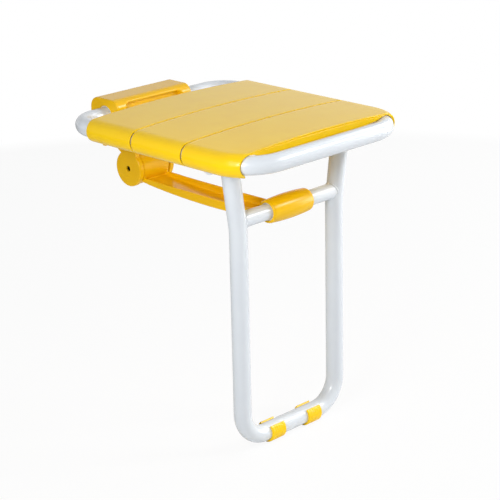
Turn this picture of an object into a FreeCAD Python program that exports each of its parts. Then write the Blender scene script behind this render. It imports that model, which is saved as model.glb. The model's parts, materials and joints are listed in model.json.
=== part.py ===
import FreeCAD, Part
import math
import os

# Fold-down wall seat. Units are millimetres.
# X runs across the seat, +Y points into the wall and +Z up. The origin is the centre of
# the four wall holes, on the wall. The seat is modelled down, ready to sit on.

V = FreeCAD.Vector

# Tubes
tube_d = 25.0             # seat loop and legs
tube_wall = 1.5
crossbar_d = 22.0

# Seat loop, between tube centres
loop_width = 291.0
loop_depth = 348.0
rear_bend_r = 38.0
front_bend_r = 52.0
seat_shift = 16.0         # the loop and legs sit this far to one side on their bearings

# Slats
slat_wall = 3.5
slat_grip = 0.4           # gap between a slat's skirt and the tube inside it
slat_crown = 4.0
slat_gap = 3.0
rear_slat_start = 48.0    # from the rear tube's centre to the rear slat's edge
rear_slat_depth = 89.25
front_slat_end = 14.0        # from the front slat's edge to the front tube's centre
skirt_inset = 2.0         # the skirts end this far outside the tube's centre
skirt_corner_r = 4.0
flange_wall = 3.0
flange_depth = 6.5        # under the sheet, at the middle of a slat's long edges
rib_wall = 2.5
rib_depth = 4.0
rib_spacing = 58.0
screw_tab_r = 6.5

# Wall plate and hinge block
hole_spacing_x = 84.0
hole_spacing_z = 49.0
wall_hole_r = 3.3
hole_margin = 10.0
plate_wall = 6.0
gusset_wall = 3.0
hinge_stand_off = 31.5    # from the wall to the rear tube's centre
hinge_rise = 18.5         # from the pattern's centre up to the rear tube's centre
block_length = 141.5
block_top = 24.5          # from here to saddle_drop: from the rear tube's centre
block_front = 28.0
block_front_r = 15.0
block_back_r = 16.0
block_chamfer = 5.0
block_end_r = 1.5
recess_floor = 17.5
recess_top = 17.5
recess_margin = 16.75      # from the block's ends to its recess
recess_edge_r = 2.0
recess_corner_r = 8.0
saddle_drop = 22.0
cover_seam = 0.1
screw_pocket_r = 7.0
screw_pocket_depth = 7.0
bush_wall = 1.9
bush_length = 24.0
bush_inset = 1.5
bush_slit = 1.6

# Hub and link arm
fold_angle = 83.0         # degrees from down to up
arm_drop = 86.5           # from the rear tube's centre down to the arm's pivot
hub_cheek_r = 26.5
hub_cheek_wall = 7.2
hub_edge_r = 1.8
hub_barrel_r = 25.3
arm_width = 49.0
arm_wall = 3.5
arm_floor = 3.0
arm_edge_r = 2.5
rim_drop_hub = 11.0       # from the line between the arm's two pivots down to its rims
rim_drop_middle = 8.0
rim_drop_sleeve = 2.0
trough_depth_hub = 6.3
trough_depth_middle = 13.5
trough_depth_sleeve = 10.5
sleeve_length = 78.0
sleeve_middle_r = 18.0
sleeve_end_r = 16.2
sleeve_edge_r = 2.5
cap_tilt = 26.0           # degrees that the sleeve's cap faces upwards
cap_seam = 0.1
liner_wall = 1.2
liner_length = 14.0
liner_inset = 1.5
pin_r = 7.0
hub_bush_wall = 2.0
hub_bush_length = 14.0
hub_flange_r = 12.5
hub_flange_wall = 1.2

# Leg frame
leg_reach = 271.5         # from the rear tube's centre out to the legs
crossbar_drop = 96.5      # from the rear tube's centre down to the crossbar
leg_drop = 417.5          # from the rear tube's centre down to the bottom tube
leg_spacing = 188.0
leg_side_room = 24.5      # from the loop's side tubes in to the axes of the leg tops
splay_drop = 110.0        # from the rear tube's centre down to where the legs splay
splay_bend_r = 90.0
foot_bend_r = 42.0
leg_top_rise = 7.5        # the leg tube ends this far above its pivot
plug_depth = 25.0
plug_dome_r = 15.0
clip_wall = 3.0
clip_width = 26.0
clip_spacing = 73.5
clip_opening = 84.0       # degrees open on top
groove_pitch = 4.0
groove_width = 0.8
groove_depth = 0.4

# Leg pivots
bolt_r = 4.0
bolt_head = 4.0
bolt_head_r = 6.5
bolt_socket = 5.0
pivot_bush_wall = 2.0
lug_r = 11.0
lug_web = 15.0
washer_r = 9.0
washer_wall = 1.0

# Small screws
cover_screw_r = 2.5
cover_screw_head_r = 4.5
cover_screw_head = 4.0
cover_screw_inset = 9.0
cover_screw_reach = 11.0  # above the rear tube's centre
pivot_screw_r = 3.0
pivot_screw_head_r = 4.2
pivot_screw_head = 3.2
pivot_screw_recess = 2.4
pivot_screw_grip = 12.0
slat_screw_r = 1.8
slat_screw_head_r = 3.6
slat_screw_head = 2.2
slat_screw_sink = 2.3
slat_screw_length = 7.0
slot_width = 1.0
sleeve_screw_r = 1.2
sleeve_screw_head_r = 1.9
sleeve_screw_head = 1.6
sleeve_screw_inset = 7.0
sleeve_screw_seat = 4.0   # from the cap's seam to under the head
sleeve_screw_grip = 5.0

# Clearances
run_gap = 0.05            # radial, round a turning shaft
sleeve_gap = 0.25         # radial, round the crossbar
side_gap = 0.3            # beside parts that turn past each other
screw_gap = 0.1           # radial, round a screw's shank or head
thread_gap = 0.02         # radial, round a screw's thread
tip_gap = 1.0             # beyond a screw's tip

# Places worked out from the sizes
tube_r = tube_d / 2
bar_r = crossbar_d / 2
hinge_y = -hinge_stand_off
hinge_z = hinge_rise
arm_z = hinge_z - arm_drop
leg_y = hinge_y - leg_reach
bar_z = hinge_z - crossbar_drop
leg_pivot_z = bar_z + arm_drop
bottom_z = hinge_z - leg_drop
side_x = loop_width / 2
leg_x = leg_spacing / 2
leg_top_x = side_x - tube_r - leg_side_room
bend_z = hinge_z - splay_drop
leg_lean = (leg_top_x - leg_x) / (leg_pivot_z - bend_z)
loop_front_y = hinge_y - loop_depth
grip_r = tube_r + slat_grip
skirt_r = grip_r + slat_wall
sheet_low_z = hinge_z + grip_r + slat_crown
skirt_low_z = hinge_z - skirt_r
slat_far_x = side_x + skirt_r
slat_room = loop_depth - rear_slat_start - rear_slat_depth - front_slat_end
slat_depth = slat_room / 2 - slat_gap
bush_bore_r = tube_r + run_gap
block_bore_r = bush_bore_r + bush_wall
block_half = block_length / 2
recess_half = block_half - recess_margin
plate_half_x = hole_spacing_x / 2 + hole_margin
plate_half_z = hole_spacing_z / 2 + hole_margin
saddle_z = hinge_z - saddle_drop
half_arm = arm_width / 2
cheek_inner = half_arm + hub_flange_wall + side_gap / 2
cheek_outer = cheek_inner + hub_cheek_wall
hub_bore_r = pin_r + run_gap + hub_bush_wall
liner_bore_r = bar_r + sleeve_gap
liner_r = liner_bore_r + liner_wall
sleeve_half = sleeve_length / 2
sleeve_x = sleeve_half - half_arm    # the sleeve's left end is level with the trough's left wall
clip_r = tube_r + clip_wall
pivot_bore_r = bolt_r + run_gap + pivot_bush_wall
pivot_bush_half = tube_r * math.sqrt(1 + leg_lean ** 2) + washer_r * leg_lean + side_gap
washer_start = pivot_bush_half + side_gap
lug_inner = leg_top_x + washer_start + washer_wall
bolt_tip = side_x - tube_r - tip_gap

SIDES = ((-1, "left"), (1, "right"))
CORNERS = ((-1, -1), (-1, 1), (1, -1), (1, 1))


def box(x0, x1, y0, y1, z0, z1):
    """A box between two corners."""
    return Part.makeBox(x1 - x0, y1 - y0, z1 - z0, V(x0, y0, z0))


def rod(xa, xb, y, z, r):
    """A round bar along X between two places."""
    return Part.makeCylinder(r, abs(xb - xa), V(min(xa, xb), y, z), V(1, 0, 0))


def post(x, y, z0, z1, r):
    """A round bar along Z."""
    return Part.makeCylinder(r, z1 - z0, V(x, y, z0), V(0, 0, 1))


def drill(x, z, y0, y1, r):
    """A round bar along Y."""
    return Part.makeCylinder(r, y1 - y0, V(x, y0, z), V(0, 1, 0))


def ring(xa, xb, y, z, inner, outer):
    """A plain bush or washer along X."""
    return rod(xa, xb, y, z, outer).cut(rod(xa, xb, y, z, inner))


def fuse(shapes):
    """One solid out of several that touch."""
    whole = shapes[0].multiFuse(shapes[1:]).removeSplitter()
    return whole.Solids[0] if len(whole.Solids) == 1 else whole


def largest(shape):
    """The largest solid of a shape."""
    return max(shape.Solids, key=lambda solid: solid.Volume)


def slab(edges, direction):
    """A closed outline of edges, thickened along a direction."""
    wire = Part.Wire([edge.toShape() for edge in edges])
    return Part.Face(wire).extrude(direction)


def plate(points, x0, x1):
    """A flat outline in the YZ plane, given as (y, z), thickened along X."""
    corners = [V(x0, y, z) for y, z in points]
    face = Part.Face(Part.makePolygon(corners + corners[:1]))
    return face.extrude(V(x1 - x0, 0, 0))


def curved_path(points, radii):
    """A wire through the points with an arc at each inner point."""
    edges = []
    last = points[0]
    for before, corner, after, r in zip(points, points[1:], points[2:], radii):
        back = (before - corner).normalize()
        ahead = (after - corner).normalize()
        half = back.getAngle(ahead) / 2
        start = corner + back * (r / math.tan(half))
        end = corner + ahead * (r / math.tan(half))
        bisector = (back + ahead).normalize()
        middle = corner + bisector * (r / math.sin(half) - r)
        edges.append(Part.LineSegment(last, start).toShape())
        edges.append(Part.Arc(start, middle, end).toShape())
        last = end
    edges.append(Part.LineSegment(last, points[-1]).toShape())
    return Part.Wire(edges)


def sweep(path, r):
    """A round bar along a wire."""
    edge = path.OrderedEdges[0]
    start = edge.valueAt(edge.FirstParameter)
    direction = edge.tangentAt(edge.FirstParameter)
    section = Part.Wire(Part.makeCircle(r, start, direction))
    return path.makePipeShell([section], True, False)


def hex_socket(x, y, z, across, depth):
    """A hexagonal hole along X, from x over a signed depth."""
    r = across / math.sqrt(3)
    turns = [math.radians(60 * i) for i in range(6)]
    outline = [(y + r * math.cos(a), z + r * math.sin(a)) for a in turns]
    return plate(outline, x, x + depth)


# Seat loop

def loop_path():
    """The closed centreline of the seat loop."""
    left = seat_shift - side_x
    right = seat_shift + side_x
    points = [V(seat_shift, hinge_y, hinge_z), V(left, hinge_y, hinge_z),
              V(left, loop_front_y, hinge_z), V(right, loop_front_y, hinge_z),
              V(right, hinge_y, hinge_z), V(seat_shift, hinge_y, hinge_z)]
    return curved_path(points, [rear_bend_r, front_bend_r, front_bend_r, rear_bend_r])


def side_path(side):
    """The centreline of one side tube and its front bend."""
    x = seat_shift + side * side_x
    points = [V(x, hinge_y, hinge_z), V(x, loop_front_y, hinge_z),
              V(seat_shift, loop_front_y, hinge_z)]
    return curved_path(points, [front_bend_r])


def seat_loop_tube():
    """The closed loop of tube under the slats, with the slat screws' holes in it."""
    path = loop_path()
    tube = sweep(path, tube_r).cut(sweep(path, tube_r - tube_wall))
    for x, y in slat_screw_places():
        low = hinge_z - tube_r - tip_gap
        tube = tube.cut(post(x, y, low, hinge_z, slat_screw_r + screw_gap))
    return tube


# Slats

def slat_edges():
    """The front and rear edge of each slat, rear slat first."""
    edges = []
    y = hinge_y - rear_slat_start
    for depth in (rear_slat_depth, slat_depth, slat_depth):
        edges.append((y - depth, y))
        y -= depth + slat_gap
    return edges


def slat_screw_places():
    """A screw under each end of each slat, at its middle unless a leg's lug is there."""
    places = []
    room = lug_r + screw_tab_r + side_gap
    for y0, y1 in slat_edges():
        y = (y0 + y1) / 2
        if abs(y - leg_y) < room:
            y = leg_y - room
        places += [(seat_shift + side * side_x, y) for side in (-1, 1)]
    return places


def loop_area(offset, z0, z1):
    """A slab of the area inside the loop's centreline, grown by an offset."""
    left = seat_shift - side_x - offset
    right = seat_shift + side_x + offset
    y0 = hinge_y + tube_d
    y1 = loop_front_y - offset
    points = [V(seat_shift, y0, z0), V(left, y0, z0), V(left, y1, z0),
              V(right, y1, z0), V(right, y0, z0), V(seat_shift, y0, z0)]
    r = front_bend_r + offset
    outline = curved_path(points, [rear_bend_r, r, r, rear_bend_r])
    return Part.Face(outline).extrude(V(0, 0, z1 - z0))


def crown_sheet():
    """The crowned top sheet, which meets the round skirts in a smooth line."""
    crown_r = (side_x ** 2 + slat_crown ** 2) / (2 * slat_crown)
    z = hinge_z - crown_r + slat_crown
    start = V(seat_shift, loop_front_y, z)
    outer = Part.makeCylinder(crown_r + skirt_r, loop_depth, start, V(0, 1, 0))
    inner = Part.makeCylinder(crown_r + grip_r, loop_depth, start, V(0, 1, 0))
    reach = skirt_r * side_x / crown_r
    return outer.cut(inner).common(loop_area(reach, hinge_z, sheet_low_z + 2 * slat_wall))


def slat_shell():
    """The sheet and both round skirts in one piece, over the whole depth of the seat."""
    shell = crown_sheet()
    overlap = slat_wall / 10
    inside = loop_area(skirt_inset, skirt_low_z - 1, hinge_z + grip_r - overlap)
    for x, y in slat_screw_places():
        inside = inside.cut(post(x, y, skirt_low_z - 1, hinge_z, screw_tab_r))
    for side in (-1, 1):
        path = side_path(side)
        skirt = sweep(path, skirt_r).cut(sweep(path, grip_r)).cut(inside)
        shell = shell.fuse(skirt)
    return shell


def flange(y):
    """A flange under one long edge of a slat, deepest in the middle."""
    end = side_x - skirt_r
    high = hinge_z + skirt_r - slat_wall / 4
    left = V(seat_shift - end, y, high)
    right = V(seat_shift + end, y, high)
    middle = V(seat_shift, y, sheet_low_z - flange_depth)
    edges = [Part.Arc(left, middle, right), Part.LineSegment(right, left)]
    return slab(edges, V(0, flange_wall, 0))


def rib(x, y0, y1):
    """A rib under the sheet from one flange to the other."""
    low = sheet_low_z - slat_crown * (x / side_x) ** 2 - rib_depth
    high = low + rib_depth + slat_wall / 2
    x0 = seat_shift + x - rib_wall / 2
    return box(x0, x0 + rib_wall, y0 + flange_wall / 2, y1 - flange_wall / 2, low, high)


def skirt_corners(y0, y1):
    """The waste outside the rounded lower corners of a slat's skirts."""
    r = skirt_corner_r
    z = skirt_low_z + r
    x0 = seat_shift - slat_far_x - 1
    x1 = seat_shift + slat_far_x + 1
    waste = []
    for edge, centre in ((y0, y0 + r), (y1, y1 - r)):
        block = box(x0, x1, min(edge, centre), max(edge, centre), skirt_low_z - 1, z)
        waste.append(block.cut(rod(x0, x1, centre, z, r)))
    return waste


def slat(shell, y0, y1):
    """One slat: its stretch of the shell, its flanges and ribs, and its screw holes."""
    x0 = seat_shift - slat_far_x - 1
    x1 = seat_shift + slat_far_x + 1
    high = sheet_low_z + 2 * slat_wall
    stretch = shell.common(box(x0, x1, y0, y1, skirt_low_z - 1, high))
    ribs = [rib(x, y0, y1) for x in (-rib_spacing, 0, rib_spacing)]
    body = fuse([stretch, flange(y0), flange(y1 - flange_wall)] + ribs)
    for waste in skirt_corners(y0, y1):
        body = body.cut(waste)
    seat = skirt_low_z + slat_screw_sink
    for x, y in slat_screw_places():
        if y0 < y < y1:
            body = body.cut(post(x, y, skirt_low_z - 1, hinge_z, slat_screw_r + screw_gap))
            body = body.cut(post(x, y, skirt_low_z - 1, seat, slat_screw_head_r + screw_gap))
    return body


def slat_screws():
    """Pan-head screws from below, through the skirts into the side tubes."""
    screws = []
    seat = skirt_low_z + slat_screw_sink
    low = seat - slat_screw_head
    half_slot = slat_screw_head_r * 0.7
    for x, y in slat_screw_places():
        head = post(x, y, low, seat, slat_screw_head_r)
        slot = box(x - half_slot, x + half_slot, y - slot_width / 2, y + slot_width / 2,
                   low, low + slat_screw_head / 2)
        screws.append(head.cut(slot).fuse(post(x, y, seat, seat + slat_screw_length, slat_screw_r)))
    return Part.Compound(screws)


# Wall bracket and hinge block

def block_section():
    """The hinge block's section, flat on top with rounded shoulders, over its length."""
    front = hinge_y - block_front
    top = hinge_z + block_top
    slant = 1 - math.sqrt(0.5)
    x = -block_half
    front_low = V(x, front, saddle_z + block_chamfer)
    front_high = V(x, front, top - block_front_r)
    top_front = V(x, front + block_front_r, top)
    top_back = V(x, -block_back_r, top)
    back_high = V(x, 0, top - block_back_r)
    back_low = V(x, 0, saddle_z)
    low_front = V(x, front + block_chamfer, saddle_z)
    front_mid = V(x, front + block_front_r * slant, top - block_front_r * slant)
    back_mid = V(x, -block_back_r * slant, top - block_back_r * slant)
    edges = [Part.LineSegment(front_low, front_high), Part.Arc(front_high, front_mid, top_front),
             Part.LineSegment(top_front, top_back), Part.Arc(top_back, back_mid, back_high),
             Part.LineSegment(back_high, back_low), Part.LineSegment(back_low, low_front),
             Part.LineSegment(low_front, front_low)]
    return slab(edges, V(block_length, 0, 0))


def block_recess():
    """The shallow recess in the block's front, where the arm lies when the seat is up."""
    front = hinge_y - block_front - 1
    floor = hinge_y - recess_floor
    top = hinge_z + recess_top
    hollow = box(-recess_half, recess_half, front, floor, saddle_z - 1, top)
    corners = [edge for edge in hollow.Edges
               if edge.BoundBox.YLength > 1 and edge.BoundBox.ZMin > hinge_z]
    return hollow.makeFillet(recess_corner_r, corners)


def hinge_block():
    """The block with its recess, rounded edges, and its bore for the bushes."""
    block = block_section().cut(block_recess())
    deepest = hinge_y - recess_floor - 1
    mouth = [edge for edge in block.Edges
             if edge.BoundBox.YMax < deepest and edge.BoundBox.XMax < recess_half + 1
             and edge.BoundBox.XMin > -recess_half - 1]
    block = block.makeFillet(recess_edge_r, mouth)
    ends = [edge for edge in block.Edges
            if abs(edge.BoundBox.Center.x) > block_half - 0.01 and edge.BoundBox.YMax < -0.01]
    block = block.makeFillet(block_end_r, ends)
    return block.cut(rod(-block_half, block_half, hinge_y, hinge_z, block_bore_r))


def cover_screw_places():
    """Four screws beside the tube, two at each end of the block."""
    x = block_half - cover_screw_inset
    y = block_bore_r + cover_screw_head_r + tip_gap
    return [(sx * x, hinge_y + sy * y) for sx, sy in CORNERS]


def cheek(side):
    """One round cheek of the hub and its web up to the saddle."""
    x0, x1 = sorted((side * cheek_inner, side * cheek_outer))
    r = hub_cheek_r
    front = hinge_y - recess_floor
    top = saddle_z + plate_wall / 2
    web = plate([(front, top), (0, top), (0, -plate_half_z), (hinge_y + r / 2, arm_z + r * 0.8),
                 (front, arm_z + r * 0.75)], x0, x1)
    disc = rod(x0, x1, hinge_y, arm_z, r)
    rim = [edge for edge in disc.Edges if abs(edge.BoundBox.XMin - side * cheek_outer) < 0.01]
    return disc.makeFillet(hub_edge_r, rim).fuse(web)


def gussets():
    """Ribs between the wall plate and the saddle, at the plate's sides and middle."""
    top = saddle_z + plate_wall / 2
    outline = [(0, -plate_half_z), (0, top), (hinge_y, top),
               (-plate_wall, -plate_half_z + gusset_wall)]
    end = plate_half_x - gusset_wall
    starts = (-plate_half_x, -gusset_wall / 2, end)
    return [plate(outline, x, x + gusset_wall) for x in starts]


def cut_cover_screws(body):
    """A bracket with the holes for the cover screws."""
    seat = saddle_z + cover_screw_head
    for x, y in cover_screw_places():
        body = body.cut(post(x, y, saddle_z - 1, hinge_z + 1, cover_screw_r + screw_gap))
        body = body.cut(post(x, y, saddle_z - 1, seat, cover_screw_head_r + screw_gap))
    return body


def cut_pivot_screws(body):
    """A bracket with the stepped holes for the pivot screws through its cheeks."""
    seat = cheek_outer - pivot_screw_head - pivot_screw_recess
    head_r = pivot_screw_head_r + screw_gap
    shank_r = pivot_screw_r + screw_gap
    for side in (-1, 1):
        outer = side * (cheek_outer + 1)
        body = body.cut(rod(side * seat, outer, hinge_y, arm_z, head_r))
        body = body.cut(rod(side * (cheek_inner - 1), outer, hinge_y, arm_z, shank_r))
    return body


def wall_bracket():
    """The cast bracket: wall plate, lower half of the hinge block and the hub's cheeks."""
    reach = block_half + 1
    lower = box(-reach, reach, hinge_y - 2 * block_front, 1, saddle_z - 1, hinge_z)
    wall_plate = box(-plate_half_x, plate_half_x, -plate_wall, 0, -plate_half_z, plate_half_z)
    body = fuse([hinge_block().common(lower), wall_plate, cheek(-1), cheek(1)] + gussets())
    for sx, sz in CORNERS:
        x = sx * hole_spacing_x / 2
        z = sz * hole_spacing_z / 2
        body = body.cut(drill(x, z, -plate_wall - 1, 1, wall_hole_r))
    return cut_pivot_screws(cut_cover_screws(body))


def hinge_cover():
    """The cover over the rear tube, with room for the wall plate and the upper wall screws."""
    reach = block_half + 1
    upper = box(-reach, reach, hinge_y - 2 * block_front, 1,
                hinge_z + cover_seam, hinge_z + block_top + 1)
    body = hinge_block().common(upper)
    room_x = plate_half_x + side_gap
    body = body.cut(box(-room_x, room_x, -plate_wall - cover_seam, 1, hinge_z - 1,
                        plate_half_z + side_gap))
    for sx in (-1, 1):
        x = sx * hole_spacing_x / 2
        deep = -plate_wall - screw_pocket_depth
        body = body.cut(drill(x, hole_spacing_z / 2, deep, 0, screw_pocket_r))
    for x, y in cover_screw_places():
        high = hinge_z + cover_screw_reach + tip_gap
        body = body.cut(post(x, y, hinge_z - 1, high, cover_screw_r + thread_gap))
    return body


def cover_screws():
    """Cap screws from below that hold the cover on the bracket."""
    screws = []
    seat = saddle_z + cover_screw_head
    for x, y in cover_screw_places():
        head = post(x, y, saddle_z, seat, cover_screw_head_r)
        socket = post(x, y, saddle_z, seat - cover_screw_head / 2, cover_screw_r)
        shank = post(x, y, seat, hinge_z + cover_screw_reach, cover_screw_r)
        screws.append(head.cut(socket).fuse(shank))
    return Part.Compound(screws)


def hinge_bush(side):
    """A split bush in one end of the hinge block."""
    end = side * (block_half - bush_inset)
    bush = ring(end, end - side * bush_length, hinge_y, hinge_z, bush_bore_r, block_bore_r)
    half = bush_slit / 2
    slit = box(-block_half, block_half, hinge_y - half, hinge_y + half,
               hinge_z - block_bore_r - 1, hinge_z)
    return bush.cut(slit)


# Hub pivot

def arm_pivot_pin():
    """The pin between the cheeks, with a threaded hole in each end."""
    pin = rod(-cheek_inner, cheek_inner, hinge_y, arm_z, pin_r)
    deep = cheek_inner - pivot_screw_grip - tip_gap
    for side in (-1, 1):
        hole = rod(side * cheek_inner, side * deep, hinge_y, arm_z, pivot_screw_r + thread_gap)
        pin = pin.cut(hole)
    return pin


def pivot_screw(side):
    """The recessed screw in one end of the pivot pin."""
    outer = side * (cheek_outer - pivot_screw_recess)
    seat = outer - side * pivot_screw_head
    tip = side * (cheek_inner - pivot_screw_grip)
    head = rod(seat, outer, hinge_y, arm_z, pivot_screw_head_r)
    across = 1.5 * pivot_screw_r
    head = head.cut(hex_socket(outer, hinge_y, arm_z, across, -side * pivot_screw_head / 2))
    return head.fuse(rod(seat, tip, hinge_y, arm_z, pivot_screw_r))


def hub_bush(side):
    """A flanged bush in one end of the arm's barrel."""
    face = side * half_arm
    bore_r = pin_r + run_gap
    flange_ring = ring(face, face + side * hub_flange_wall, hinge_y, arm_z, bore_r, hub_flange_r)
    tube = ring(face, face - side * hub_bush_length, hinge_y, arm_z, bore_r, hub_bore_r)
    return flange_ring.fuse(tube)


# Link arm

def arm_point(share, drop):
    """A point below the line between the arm's two pivots."""
    y = hinge_y + share * (leg_y - hinge_y)
    z = arm_z + share * (bar_z - arm_z) - drop
    return V(0, y, z)


def trough_side(low, high):
    """The trough's side view between two rows of three depths below its pivots' line."""
    places = (0, 0.5, 1)
    upper = [arm_point(share, drop) for share, drop in zip(places, high)]
    lower = [arm_point(share, drop) for share, drop in zip(places, low)]
    return [Part.Arc(upper[0], upper[1], upper[2]), Part.LineSegment(upper[2], lower[2]),
            Part.Arc(lower[2], lower[1], lower[0]), Part.LineSegment(lower[0], upper[0])]


def trough():
    """The open trough between the hub and the sleeve."""
    rims = (rim_drop_hub, rim_drop_middle, rim_drop_sleeve)
    depths = (trough_depth_hub, trough_depth_middle, trough_depth_sleeve)
    lows = [rim + depth for rim, depth in zip(rims, depths)]
    floors = [low - arm_floor for low in lows]
    above = [rim - hub_barrel_r for rim in rims]
    inner = half_arm - arm_wall
    outside = slab(trough_side(lows, rims), V(arm_width, 0, 0))
    under = [edge for edge in outside.Edges
             if edge.BoundBox.YLength > arm_edge_r and edge.BoundBox.ZMin < arm_z - lows[1]]
    outside = outside.makeFillet(arm_edge_r, under)
    outside.translate(V(-half_arm, 0, 0))
    hollow = slab(trough_side(floors, above), V(2 * inner, 0, 0))
    hollow.translate(V(-inner, 0, 0))
    return outside.cut(hollow)


def sleeve_barrel():
    """The barrel-shaped outside of the sleeve, turned round the crossbar's axis."""
    half = sleeve_half
    edge = sleeve_edge_r
    slant = edge * (1 - math.sqrt(0.5))
    end_z = bar_z + sleeve_end_r
    left = V(-half, leg_y, bar_z)
    left_face = V(-half, leg_y, end_z - edge)
    left_round = V(-half + slant, leg_y, end_z - slant)
    left_top = V(-half + edge, leg_y, end_z)
    middle = V(0, leg_y, bar_z + sleeve_middle_r)
    right_top = V(half - edge, leg_y, end_z)
    right_round = V(half - slant, leg_y, end_z - slant)
    right_face = V(half, leg_y, end_z - edge)
    right = V(half, leg_y, bar_z)
    edges = [Part.LineSegment(left, left_face), Part.Arc(left_face, left_round, left_top),
             Part.Arc(left_top, middle, right_top), Part.Arc(right_top, right_round, right_face),
             Part.LineSegment(right_face, right), Part.LineSegment(right, left)]
    face = Part.Face(Part.Wire([piece.toShape() for piece in edges]))
    barrel = face.revolve(left, V(1, 0, 0), 360)
    barrel.translate(V(sleeve_x, 0, 0))
    return barrel


def tilted(shape):
    """A shape that faces the front, turned about the crossbar to face as the cap does."""
    turned = shape.copy()
    turned.rotate(V(0, leg_y, bar_z), V(-1, 0, 0), cap_tilt)
    return turned


def cap_side(seam):
    """The space on the cap's side of a seam through the crossbar's axis."""
    reach = 2 * sleeve_middle_r
    return tilted(box(-sleeve_length, sleeve_length, leg_y - reach, leg_y - seam,
                      bar_z - reach, bar_z + reach))


def sleeve_screw_places():
    """Four screws through the seam beside the crossbar, as (x, z) before the tilt."""
    x = sleeve_half - sleeve_screw_inset
    z = (liner_r + sleeve_end_r) / 2
    return [(sleeve_x + sx * x, bar_z + sz * z) for sx, sz in CORNERS]


def link_arm():
    """The arm: hub barrel, open trough and the crossbar sleeve's rear half."""
    barrel = rod(-half_arm, half_arm, hinge_y, arm_z, hub_barrel_r)
    body = fuse([trough(), barrel, sleeve_barrel()])
    body = body.cut(rod(-half_arm - 1, half_arm + 1, hinge_y, arm_z, hub_bore_r))
    body = body.cut(rod(-sleeve_length, sleeve_length, leg_y, bar_z, liner_r))
    body = body.cut(cap_side(0))
    for x, z in sleeve_screw_places():
        hole = drill(x, z, leg_y - 1, leg_y + 2 * sleeve_middle_r, sleeve_screw_r + screw_gap)
        sink = drill(x, z, leg_y + sleeve_screw_seat, leg_y + 2 * sleeve_middle_r,
                     sleeve_screw_head_r + screw_gap)
        body = body.cut(tilted(hole)).cut(tilted(sink))
    return largest(body)


def sleeve_cap():
    """The sleeve's front half, which goes on once the crossbar is in place."""
    cap = sleeve_barrel().common(cap_side(cap_seam))
    cap = cap.cut(rod(-sleeve_length, sleeve_length, leg_y, bar_z, liner_r))
    for x, z in sleeve_screw_places():
        hole = drill(x, z, leg_y - sleeve_screw_grip - tip_gap, leg_y, sleeve_screw_r + thread_gap)
        cap = cap.cut(tilted(hole))
    return cap


def sleeve_screws():
    """Small screws from behind that hold the sleeve's cap on the arm."""
    screws = []
    seat = leg_y + sleeve_screw_seat
    outer = seat + sleeve_screw_head
    for x, z in sleeve_screw_places():
        head = drill(x, z, seat, outer, sleeve_screw_head_r)
        slot = box(x - slot_width / 3, x + slot_width / 3, outer - sleeve_screw_head / 2, outer,
                   z - sleeve_screw_head_r, z + sleeve_screw_head_r)
        shank = drill(x, z, leg_y - sleeve_screw_grip, seat, sleeve_screw_r)
        screws.append(tilted(head.cut(slot).fuse(shank)))
    return Part.Compound(screws)


def sleeve_bush(side):
    """A liner bush in one end of the sleeve."""
    outer = sleeve_x + side * (sleeve_half - liner_inset)
    return ring(outer, outer - side * liner_length, leg_y, bar_z, liner_bore_r, liner_r)


# Leg frame

def leg_path():
    """The centreline of the U-shaped leg tube, from one top to the other."""
    top_x = leg_top_x + leg_top_rise * leg_lean
    top_z = leg_pivot_z + leg_top_rise
    half = [V(leg_x, leg_y, bottom_z), V(leg_x, leg_y, bend_z), V(top_x, leg_y, top_z)]
    points = [V(seat_shift - p.x, p.y, p.z) for p in reversed(half)]
    points += [V(seat_shift + p.x, p.y, p.z) for p in half]
    return curved_path(points, [splay_bend_r, foot_bend_r, foot_bend_r, splay_bend_r])


def leg_u_tube():
    """The hollow leg tube with a cross hole at each top for the pivot bush."""
    path = leg_path()
    tube = sweep(path, tube_r).cut(sweep(path, tube_r - tube_wall))
    for side in (-1, 1):
        x = seat_shift + side * leg_top_x
        tube = tube.cut(rod(x - tube_d, x + tube_d, leg_y, leg_pivot_z, pivot_bore_r))
    return tube


def leg_crossbar():
    """The hollow crossbar, shaped at its ends to the legs."""
    bar = ring(seat_shift - leg_x, seat_shift + leg_x, leg_y, bar_z, bar_r - tube_wall, bar_r)
    return largest(bar.cut(sweep(leg_path(), tube_r)))


def leg_end_plug(side):
    """A domed plug in one top of the leg tube."""
    axis = V(side * leg_lean, 0, 1).normalize()
    pivot = V(seat_shift + side * leg_top_x, leg_y, leg_pivot_z)
    end = pivot + axis * (leg_top_rise * math.sqrt(1 + leg_lean ** 2))
    stem = Part.makeCylinder(tube_r - tube_wall, plug_depth, end - axis * plug_depth, axis)
    sink = math.sqrt(plug_dome_r ** 2 - tube_r ** 2) - tip_gap
    dome = Part.makeSphere(plug_dome_r, end - axis * sink)
    head = Part.makeCylinder(tube_r, plug_dome_r, end, axis).common(dome)
    hole = rod(pivot.x - tube_d, pivot.x + tube_d, leg_y, leg_pivot_z, pivot_bore_r)
    return stem.fuse(head).cut(hole)


def leg_pivot_bush(side):
    """The bush through one top of the leg tube."""
    x = seat_shift + side * leg_top_x
    return ring(x - pivot_bush_half, x + pivot_bush_half, leg_y, leg_pivot_z,
                bolt_r + run_gap, pivot_bore_r)


def leg_lug(side):
    """The lug on one side tube that carries a leg pivot, with a threaded hole."""
    inner = seat_shift + side * lug_inner
    outer = seat_shift + side * side_x
    x0, x1 = sorted((inner, outer))
    web = box(x0, x1, leg_y - lug_web / 2, leg_y + lug_web / 2, leg_pivot_z, hinge_z)
    lug = rod(inner, outer, leg_y, leg_pivot_z, lug_r).fuse(web)
    lug = lug.cut(sweep(side_path(side), tube_r))
    tip = seat_shift + side * (bolt_tip + tip_gap)
    return largest(lug.cut(rod(inner - side, tip, leg_y, leg_pivot_z, bolt_r + thread_gap)))


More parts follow.
